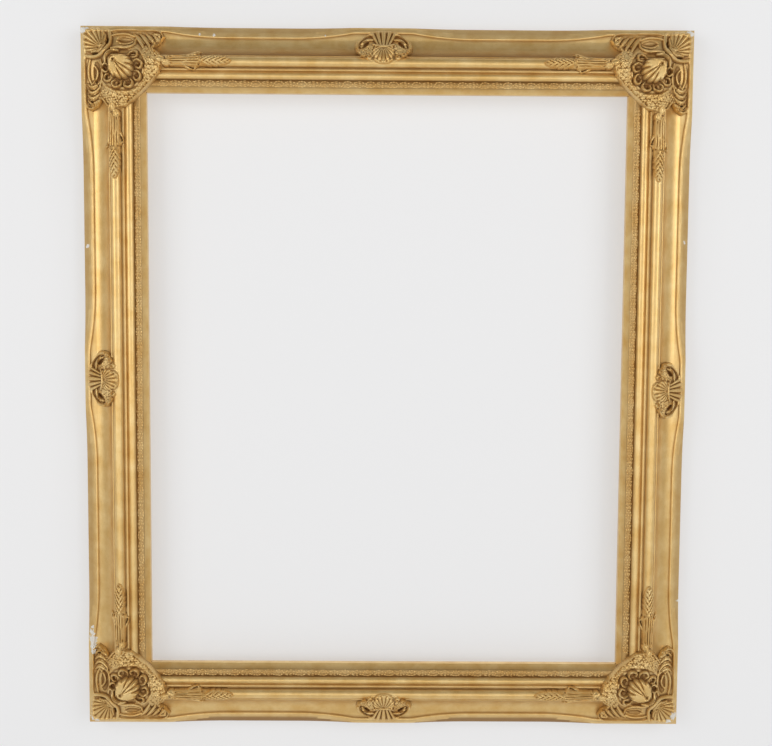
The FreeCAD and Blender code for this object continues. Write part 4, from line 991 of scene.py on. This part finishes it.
strip = {
    "start": 56.3, "end": 63.5, "foot": 24.4, "side": 1.4, "rise": 1.3,
    "pitch": 24.0,       # one repeat of the pressed pattern
    "covered": 82.0,     # how far the corner ornaments hide it
    "unevenness": 0.06, "seed": 5,
    "crownReach": 3.7,   # from the strip's middle to where the lath's dome has fallen away
    # the three rings of a raised part: share of its width, share of its height, and toning, which
    # at the foot is painted shade
    "rings": [(1.0, -0.35, 0.6), (0.95, 0.1, 0.25), (0.6, 0.8, 0.0)], "ringPoints": 8,
    # raised parts of one repeat: along, across, half length, half width, turn, height
    "motif": [
        (-11.0, -1.7, 1.9, 0.9, 30, 0.7), (-8.6, -2.5, 2.0, 0.9, 8, 0.8),
        (-5.6, -2.7, 2.0, 0.9, -6, 0.8), (-2.8, -2.0, 1.9, 0.9, 28, 0.8),
        (-10.0, 0.6, 1.4, 0.8, 70, 0.7), (-8.4, 2.2, 1.6, 0.8, 30, 0.8),
        (-5.6, 2.7, 1.8, 0.8, 0, 0.8), (-2.6, 1.9, 1.7, 0.8, -35, 0.8),
        (-6.0, 0.0, 1.5, 0.7, 0, 0.5), (-0.6, 0.1, 1.3, 1.0, 0, 0.9),
        (2.2, -1.9, 2.2, 0.8, -24, 0.7), (2.6, -0.1, 2.3, 0.8, -4, 0.8),
        (2.2, 1.7, 2.2, 0.8, 22, 0.7), (6.2, -2.5, 1.7, 0.8, -10, 0.7),
        (6.6, -0.7, 1.6, 0.8, 8, 0.8), (6.4, 1.1, 1.6, 0.8, -8, 0.8),
        (6.0, 2.7, 1.7, 0.7, 6, 0.6),
        (9.6, -1.4, 1.4, 0.9, 40, 0.7), (9.8, 1.4, 1.4, 0.9, -40, 0.7),
    ],
}


def bumpPoints(across, over, long, wide, turn, height, foot):
    # a low closed dome of rings and its middle, in mm
    c, s = math.cos(math.radians(turn)), math.sin(math.radians(turn))
    points = []
    for reach, lift, tone in strip["rings"]:
        for k in range(strip["ringPoints"]):
            t = k * 2 * math.pi / strip["ringPoints"]
            x, y = long * reach * math.cos(t), wide * reach * math.sin(t)
            points.append((across + x * c - y * s, over + x * s + y * c, foot + height * lift))
    return points + [(across, over, foot + height)]


def motifMesh():
    # one repeat of the pressed pattern
    points, faces, depth = [], [], []
    count = strip["ringPoints"]
    for across, over, long, wide, turn, height in strip["motif"]:
        start = len(points)
        foot = strip["rise"] * (1 - (over / strip["crownReach"]) ** 2)
        points += bumpPoints(across, over, long, wide, turn, height, foot)
        for reach, lift, tone in strip["rings"]:
            # each ring's toning: painted shade and toning at a raised part's foot
            depth += [tone] * count
        depth.append(0.0)
        for ring in (start, start + count):
            faces += [(ring + k, ring + (k + 1) % count, ring + count + (k + 1) % count,
                       ring + count + k) for k in range(count)]
        last = start + 2 * count
        faces += [(last + k, last + (k + 1) % count, last + count) for k in range(count)]
        faces.append(tuple(start + k for k in range(count - 1, -1, -1)))
    mesh = plainMesh("stripMotif", np.array(points) * mm, faces, smooth=0)
    pointValues(mesh, "hollow", depth)
    pointValues(mesh, "chip", np.zeros(len(points)))
    return mesh


def stripBase(side):
    # the plain domed lath under the pattern, mitred like its rail
    foot, top = strip["foot"], strip["foot"] + strip["side"]
    profile = [(strip["start"], foot)]
    profile += arcPoints((strip["start"], top), (strip["end"], top), strip["rise"], 10)
    profile += [(strip["end"], foot)]
    insets = np.array([p[0] for p in profile])
    heights = np.array([p[1] for p in profile])
    half = sides[side][0] / 2
    ends = [standOn(side, sign * (half - insets), insets, heights) for sign in (-1, 1)]
    count = len(profile)
    faces = tube(2, count) + [tuple(range(count)), tuple(range(count, 2 * count))]
    mesh = plainMesh(f"{side}StripBase", np.vstack(ends), faces)
    # the lath toned half: painted shade between the raised parts, with toning
    pointValues(mesh, "hollow", np.full(2 * count, 0.5))
    pointValues(mesh, "chip", np.zeros(2 * count))
    return mesh


def startPattern(name, result, wanted):
    # a node group for a modifier: the group, its input sockets and the modifier's keys
    tree = bpy.data.node_groups.new(name, "GeometryNodeTree")
    tree.is_modifier = True
    keys = {}
    for label, kind in wanted.items():
        socket = tree.interface.new_socket(label, in_out="INPUT",
                                           socket_type=f"NodeSocket{kind}")
        keys[label] = socket.identifier
    tree.interface.new_socket(result, in_out="OUTPUT", socket_type="NodeSocketGeometry")
    return tree, addNode(tree, "NodeGroupInput").outputs, keys


def endPattern(tree, result, made, finish):
    # the copies become plain geometry of one material
    real = addNode(tree, "GeometryNodeRealizeInstances", {"Geometry": made})
    finished = addNode(tree, "GeometryNodeSetMaterial", {
        "Geometry": real.outputs["Geometry"], "Material": finish})
    addNode(tree, "NodeGroupOutput", {result: finished.outputs["Geometry"]})


def repeatTree():
    # copies of a motif along a straight line, joined to the lath
    tree, given, keys = startPattern("pressedPattern", "Strip", {
        "Lath": "Geometry", "Motif": "Object", "Count": "Int", "First place": "Vector",
        "Step": "Vector", "Turn": "Rotation", "Unevenness": "Float", "Seed": "Int",
        "Finish": "Material"})
    line = addNode(tree, "GeometryNodeMeshLine", {
        "Count": given["Count"], "Start Location": given["First place"],
        "Offset": given["Step"]}, mode="OFFSET")
    motif = addNode(tree, "GeometryNodeObjectInfo", {"Object": given["Motif"]})
    least, most = [addNode(tree, "ShaderNodeMath", {0: 1.0, 1: given["Unevenness"]},
                           operation=way).outputs[0] for way in ("SUBTRACT", "ADD")]
    chance = addNode(tree, "FunctionNodeRandomValue", {
        2: least, 3: most, "Seed": given["Seed"]}, data_type="FLOAT")
    copies = addNode(tree, "GeometryNodeInstanceOnPoints", {
        "Points": line.outputs["Mesh"], "Instance": motif.outputs["Geometry"],
        "Rotation": given["Turn"], "Scale": chance.outputs[1]})
    joined = addNode(tree, "GeometryNodeJoinGeometry", {
        "Geometry": copies.outputs["Instances"]})
    tree.links.new(given["Lath"], joined.inputs["Geometry"])
    endPattern(tree, "Strip", joined.outputs["Geometry"], given["Finish"])
    return tree, keys


def madeReal(piece, name):
    # the evaluated object as a plain mesh of its own
    graph = bpy.context.evaluated_depsgraph_get()
    mesh = bpy.data.meshes.new_from_object(piece.evaluated_get(graph))
    mesh.name = name
    bpy.data.objects.remove(piece)
    return mesh


def patterned(name, base, pattern, values):
    # what a pattern makes of a base mesh, with these values for its inputs
    tree, keys = pattern
    piece = bpy.data.objects.new(name, base)
    bpy.context.scene.collection.objects.link(piece)
    modifier = piece.modifiers.new(tree.name, "NODES")
    modifier.node_group = tree
    for label, value in values.items():
        modifier[keys[label]] = value
    return madeReal(piece, name)


pressed = repeatTree()
motif = bpy.data.objects.new("stripMotif", motifMesh())
bpy.context.scene.collection.objects.link(motif)
for side, (length, shift) in sides.items():
    along = Vector((1, 0, 0)) if side in ("top", "bottom") else Vector((0, 0, 1))
    towards = Vector((0, -1, 0))
    turn = Matrix((along, towards.cross(along), towards)).transposed().to_euler()
    run = length - 2 * strip["covered"]
    count = round(run / strip["pitch"])
    middle = (strip["start"] + strip["end"]) / 2
    first, second = [Vector(standOn(side, (k + 0.5) * run / count - run / 2, middle,
                                    strip["foot"] + strip["side"])) for k in (0, 1)]
    mesh = patterned(f"{side}Strip", stripBase(side), pressed, {
        "Motif": motif, "Count": count, "First place": first, "Step": second - first,
        "Turn": turn, "Unevenness": strip["unevenness"], "Seed": strip["seed"],
        "Finish": giltStrip})
    shownObject(f"{side}StripGilt", mesh, giltStrip,
                [f"{side}_leaf_strip"])
bpy.data.objects.remove(motif)
print("leaf strips made")


# Hardware

screw = {
    "headRadius": 3.2, "headHeight": 2.0, "shank": 1.5, "length": 10.0, "sides": 24,
    "slotWidth": 0.9, "slotDepth": 0.8, "seed": 3,
    "buttonSeat": 2.1, "strapSeat": 1.2,   # how far behind the back the heads stand
    "buttonPlaces": [(0, 315.5), (0, -315.5), (-264.5, 190), (-264.5, -190), (264.5, 190),
                     (264.5, -190)],
    "strapPlaces": [(-286, 123), (-286, 110), (286, 123), (286, 110)],
}


def turnedMesh(name, profile, sides):
    # a closed solid of revolution about Z from (radius, height) points, first and last on it
    points = [(0, 0, profile[0][1])]
    for radius, height in profile[1:-1]:
        points += [(radius * math.cos(t), radius * math.sin(t), height)
                   for t in np.linspace(0, 2 * math.pi, sides, endpoint=False)]
    points.append((0, 0, profile[-1][1]))
    faces = [(0, 1 + k, 1 + (k + 1) % sides) for k in range(sides)]
    for ring in range(len(profile) - 3):
        start = 1 + ring * sides
        faces += [(start + k, start + sides + k, start + sides + (k + 1) % sides,
                   start + (k + 1) % sides) for k in range(sides)]
    start, last = 1 + (len(profile) - 3) * sides, len(points) - 1
    faces += [(start + (k + 1) % sides, start + k, last) for k in range(sides)]
    return plainMesh(name, np.array(points) * mm, faces, smooth=35)


def slottedScrew():
    # a round-head wood screw, its head's underside at the origin
    radius, height, shank = screw["headRadius"], screw["headHeight"], screw["shank"]
    profile = [(0, height), (radius * 0.4, height * 0.96), (radius * 0.75, height * 0.7),
               (radius * 0.95, height * 0.3), (radius, 0), (shank, 0),
               (shank, shank - screw["length"]), (0, -screw["length"])]
    body = bpy.data.objects.new("screw", turnedMesh("screw", profile, screw["sides"]))
    width, deep = screw["slotWidth"] / 2, height - screw["slotDepth"]
    corners = [(x * radius * 2, y * width, z) for z in (deep, height * 2)
               for x, y in ((-1, -1), (1, -1), (1, 1), (-1, 1))]
    box = plainMesh("slot", np.array(corners) * mm, [
        (0, 3, 2, 1), (4, 5, 6, 7), (0, 1, 5, 4), (1, 2, 6, 5), (2, 3, 7, 6), (3, 0, 4, 7)])
    cutter = bpy.data.objects.new("slot", box)
    for item in (body, cutter):
        bpy.context.scene.collection.objects.link(item)
    cut = body.modifiers.new("slot", "BOOLEAN")
    cut.operation, cut.object = "DIFFERENCE", cutter
    mesh = madeReal(body, "slottedScrew")
    bpy.data.objects.remove(cutter)
    return mesh


def placesTree():
    # one copy of a motif on every point, each turned at random about its own axis
    tree, given, keys = startPattern("drivenScrews", "Screws", {
        "Places": "Geometry", "Motif": "Object", "Turn": "Rotation", "Size": "Float",
        "Seed": "Int", "Finish": "Material"})
    motif = addNode(tree, "GeometryNodeObjectInfo", {"Object": given["Motif"]})
    copies = addNode(tree, "GeometryNodeInstanceOnPoints", {
        "Points": given["Places"], "Instance": motif.outputs["Geometry"],
        "Rotation": given["Turn"], "Scale": given["Size"]})
    chance = addNode(tree, "FunctionNodeRandomValue", {
        0: (0, 0, 0), 1: (0, 0, 2 * math.pi), "Seed": given["Seed"]},
        data_type="FLOAT_VECTOR")
    spun = addNode(tree, "GeometryNodeRotateInstances", {
        "Instances": copies.outputs["Instances"], "Rotation": chance.outputs[0]})
    endPattern(tree, "Screws", spun.outputs["Instances"], given["Finish"])
    return tree, keys


driven = placesTree()
motif = bpy.data.objects.new("screwMotif", slottedScrew())
bpy.context.scene.collection.objects.link(motif)
facingBack = Matrix(((1, 0, 0), (0, 0, 1), (0, -1, 0))).to_euler()
for node, seat, places in (("turn_button_screws", "buttonSeat", "buttonPlaces"),
                           ("hanger_screws", "strapSeat", "strapPlaces")):
    base = bpy.data.meshes.new(node)
    base.from_pydata([(x * mm, screw[seat] * mm, z * mm) for x, z in screw[places]], [], [])
    mesh = patterned(f"{node}Slotted", base, driven, {
        "Motif": motif, "Turn": facingBack, "Size": 1.0, "Seed": screw["seed"],
        "Finish": brightSteel})
    shownObject(f"{node}Slotted", mesh, brightSteel, [node])
bpy.data.objects.remove(motif)

for name, node in nodes.items():
    for word, material in (("turn_button", zincSteel), ("hanger_strap", zincSteel),
                           ("hanger_ring", zincSteel), ("mitre_nails", brightSteel),
                           ("bumpers", bumperRubber)):
        if word in name and "screws" not in name:
            node.data.materials.clear()
            node.data.materials.append(material)
            break
print("hardware finished")


# Stage

stage = {
    "backdrop": "#E4E4E5", "ownLight": 0.93, "ownShare": 0.42,
    "backdropGap": 5.7, "backdropWidth": 6000, "backdropHeight": 5200,
    "nearby": 30.0,                     # mm from the back within which the wall lets light by
    "below": 0.84, "level": 0.52, "above": 0.22,  # the room's light by direction
    # lamps that face the frame's middle: place, width and height in mm, and watts
    "lamps": {
        "leftSoftbox": ((-1500, -1500, 500), (1100, 1500), 13),
        "rightSoftbox": ((1500, -1500, 500), (1100, 1500), 13),
        "frontFill": ((0, -2200, -300), (2400, 900), 8),
        "backFill": ((400, 2000, 900), (1600, 1600), 22),
    },
}


def backdropMaterial():
    # Flat emulsion paint on plaster, seen only from the front. Part of what the camera
    # sees is its own even white, so that the shadows on it stay as soft as in the photo.
    material, tree = startMaterial("backdropPaint")
    paint = addNode(tree, "ShaderNodeBsdfPrincipled", {
        "Base Color": hexColor(stage["backdrop"]), "Roughness": 0.95})
    even = addNode(tree, "ShaderNodeEmission", {"Strength": stage["ownLight"]})
    ray = addNode(tree, "ShaderNodeLightPath").outputs
    seen = addNode(tree, "ShaderNodeMath", {0: ray["Is Camera Ray"], 1: ray["Is Glossy Ray"]},
                   operation="MAXIMUM").outputs[0]
    share = addNode(tree, "ShaderNodeMath", {0: seen, 1: stage["ownShare"]},
                    operation="MULTIPLY").outputs[0]
    front = addNode(tree, "ShaderNodeMixShader", {
        0: share, 1: paint.outputs["BSDF"], 2: even.outputs["Emission"]})
    clear = addNode(tree, "ShaderNodeBsdfTransparent")
    # light from behind passes it, so that the back of the frame isn't in the dark
    near = addNode(tree, "ShaderNodeMath", {0: ray["Ray Length"], 1: stage["nearby"] * mm},
                   operation="LESS_THAN").outputs[0]
    passed = addNode(tree, "ShaderNodeMath", {0: near, 1: ray["Is Diffuse Ray"]},
                     operation="MULTIPLY").outputs[0]
    behind = addNode(tree, "ShaderNodeNewGeometry").outputs["Backfacing"]
    for socket in (ray["Is Shadow Ray"], behind):
        passed = addNode(tree, "ShaderNodeMath", {0: passed, 1: socket},
                         operation="MAXIMUM").outputs[0]
    surface = addNode(tree, "ShaderNodeMixShader", {
        0: passed, 1: front.outputs["Shader"], 2: clear.outputs["BSDF"]})
    addNode(tree, "ShaderNodeOutputMaterial", {"Surface": surface.outputs["Shader"]})
    return material


def makeBackdrop():
    half, tall = stage["backdropWidth"] / 2, stage["backdropHeight"] / 2
    corners = [(-half, -tall), (half, -tall), (half, tall), (-half, tall)]
    mesh = bpy.data.meshes.new("backdrop")
    mesh.from_pydata([(x * mm, stage["backdropGap"] * mm, z * mm) for x, z in corners], [],
                     [(0, 1, 2, 3)])
    mesh.materials.append(backdropMaterial())
    plane = bpy.data.objects.new("backdrop", mesh)
    bpy.context.scene.collection.objects.link(plane)


def areaLight(name, place, size, power):
    data = bpy.data.lights.new(name, "AREA")
    data.shape, data.size, data.size_y = "RECTANGLE", size[0] * mm, size[1] * mm
    data.energy = power
    lamp = bpy.data.objects.new(name, data)
    spot = Vector(place) * mm
    lamp.matrix_world = Matrix.Translation(spot) @ (
        (-spot).to_track_quat("-Z", "Y").to_matrix().to_4x4())
    bpy.context.scene.collection.objects.link(lamp)


makeBackdrop()
for name, (place, size, power) in stage["lamps"].items():
    areaLight(name, place, size, power)


def roomLight():
    # a pale room: bright from the floor, plain all round, dimmer from above
    world = bpy.data.worlds.new("room")
    bpy.context.scene.world = world
    world.use_nodes = True
    tree = world.node_tree
    place = addNode(tree, "ShaderNodeTexCoord").outputs["Generated"]
    up = addNode(tree, "ShaderNodeSeparateXYZ", {"Vector": place}).outputs["Z"]
    share = addNode(tree, "ShaderNodeMath", {0: up, 1: 0.5, 2: 0.5},
                    operation="MULTIPLY_ADD").outputs[0]
    levels = [(0.0, "below"), (0.42, "level"), (0.58, "level"), (0.85, "above")]
    light = addNode(tree, "ShaderNodeValToRGB", {"Fac": share}, [
        (spot, [stage[level]] * 3 + [1]) for spot, level in levels]).outputs["Color"]
    tree.links.new(light, tree.nodes["Background"].inputs["Color"])


roomLight()
bpy.context.scene.view_settings.view_transform = "Standard"
print("stage set")
